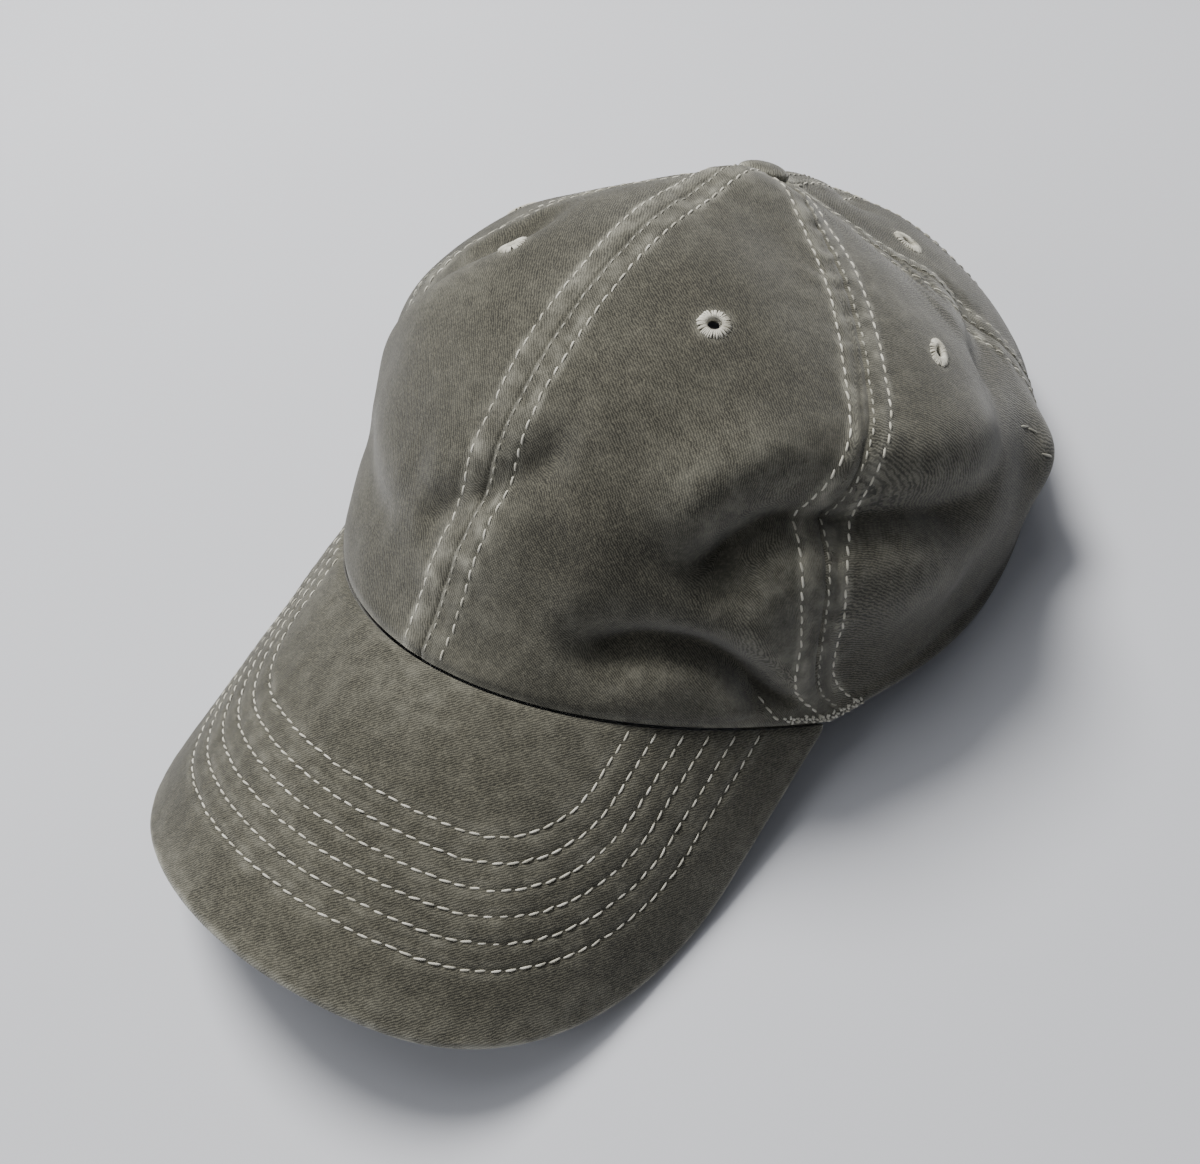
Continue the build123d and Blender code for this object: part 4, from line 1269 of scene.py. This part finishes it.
def build_strap(name, node, turns, depth_at):
    """A flat strap with rounded edges. Returns its rows of stitches, on both faces."""
    across = STRAP_WIDTH / 2 * np.sin(np.pi / 2 * np.linspace(-1, 1, 41))
    edge = STRAP_WIDTH / 2 - np.abs(across)
    rounding = 0.5 - np.sqrt(np.clip(0.25 - np.clip(0.5 - edge, 0, None) ** 2, 0, None))
    dip = 0.12 * bell(edge - 2.2, 0.7)
    depths = depth_at(turns)
    outer = strap_cloth_grid(turns, depths, across, rounding + dip)
    inner = strap_cloth_grid(turns, depths, across, 1.0 - rounding - dip)
    pattern = np.stack(np.broadcast_arrays((turns * MM_PER_DEGREE)[:, None], across[None]), -1)
    worn = np.broadcast_to(0.12 + 0.7 * bell(edge, 0.7), outer.shape[:2])
    piece = cloth_piece(name, outer, inner, pattern, worn, strap_cloth)
    declare_sheet(node, pattern)
    rows = []
    for number, offset in enumerate((-6.8, 6.8)):
        spot = np.array([offset])
        for extra, sense in ((0.0, 1.0), (1.0, -1.0)):
            line = strap_cloth_grid(turns, depths, spot, np.array([extra]))[:, 0]
            normals = strap_place(turns)[2] * sense
            rows.append(stitch_row(line, normals, seed=700 + number, pitch=2.8))
    return rows


strap_rows = build_strap("strap_cloth", "strap", np.linspace(143.0, 223.0, 160), strap_depth)
strap_rows += build_strap("strap_tab_cloth", "strap_tab", np.linspace(137.0, BAR_TURN - 0.6, 80), tab_depth)
sew("strap_topstitching", strap_rows, thread_cloth, radius=STRAP_THREAD)


# ---------------------------------------------------------------- floor, light
# In metres.
FLOOR_HALF = 40.0
LIGHT_AIM = (0.0, 0.0, 0.05)


def build_floor():
    """A plain surface under the cap."""
    mesh = bpy.data.meshes.new("floor")
    corners = [(x * FLOOR_HALF, y * FLOOR_HALF, 0) for x, y in ((-1, -1), (1, -1), (1, 1), (-1, 1))]
    mesh.from_pydata(corners, [], [(0, 1, 2, 3)])
    mesh.materials.append(floor_material())
    floor = bpy.data.objects.new("floor", mesh)
    bpy.context.scene.collection.objects.link(floor)


def area_light(name, place, size, power, colour):
    """A round soft lamp at a place, turned towards the cap."""
    light = bpy.data.lights.new(name, "AREA")
    light.shape = "DISK"
    light.size = size
    light.energy = power
    light.color = colour
    lamp = bpy.data.objects.new(name, light)
    lamp.location = place
    back = unit(np.array(place) - np.array(LIGHT_AIM))
    side = unit(np.cross([0.0, 0.0, 1.0], back))
    lamp.rotation_mode = "QUATERNION"
    lamp.rotation_quaternion = Matrix([side, np.cross(back, side), back]).transposed().to_quaternion()
    bpy.context.scene.collection.objects.link(lamp)


def build_sky():
    """A wide soft sun and a faint even light from all round."""
    sky = bpy.data.lights.new("sky", "SUN")
    sky.energy = 0.75
    sky.angle = radians(40.0)
    lamp = bpy.data.objects.new("sky", sky)
    lamp.rotation_euler = (radians(-8.0), radians(-24.0), 0.0)
    bpy.context.scene.collection.objects.link(lamp)
    world = bpy.data.worlds.new("studio")
    world.use_nodes = True
    background = world.node_tree.nodes["Background"]
    background.inputs["Color"].default_value = rgb(0.90, 0.93, 1.0)
    background.inputs["Strength"].default_value = 0.17
    bpy.context.scene.world = world


build_floor()
area_light("key", (-0.60, 0.25, 1.10), 0.5, 24.0, (1.0, 0.985, 0.95))
area_light("fill", (-0.60, -1.20, 0.95), 0.9, 5.0, (0.97, 0.98, 1.0))
build_sky()


# ---------------------------------------------------------------------- camera
CAMERA_AZIMUTH = radians(49.8)
CAMERA_ELEVATION = radians(53.1)
CAMERA_ROLL = radians(-15.5)
CAMERA_PLACE = (0.1432, -0.1325, 0.25935)
CAMERA_LENS = 36.165


def build_camera():
    """The camera that the photograph was taken from."""
    back = np.array([
        np.sin(CAMERA_AZIMUTH) * np.cos(CAMERA_ELEVATION),
        -np.cos(CAMERA_AZIMUTH) * np.cos(CAMERA_ELEVATION),
        np.sin(CAMERA_ELEVATION),
    ])
    level = np.array([np.cos(CAMERA_AZIMUTH), np.sin(CAMERA_AZIMUTH), 0.0])
    up = np.cross(back, level)
    right = np.cos(CAMERA_ROLL) * level + np.sin(CAMERA_ROLL) * up
    upward = -np.sin(CAMERA_ROLL) * level + np.cos(CAMERA_ROLL) * up
    data = bpy.data.cameras.new("camera")
    data.lens = CAMERA_LENS
    data.sensor_width = 36.0
    data.clip_start = 0.01
    camera = bpy.data.objects.new("camera", data)
    turned = Matrix([right, upward, back]).transposed().to_4x4()
    turned.translation = CAMERA_PLACE
    camera.matrix_world = turned
    bpy.context.scene.collection.objects.link(camera)
    bpy.context.scene.camera = camera


build_camera()
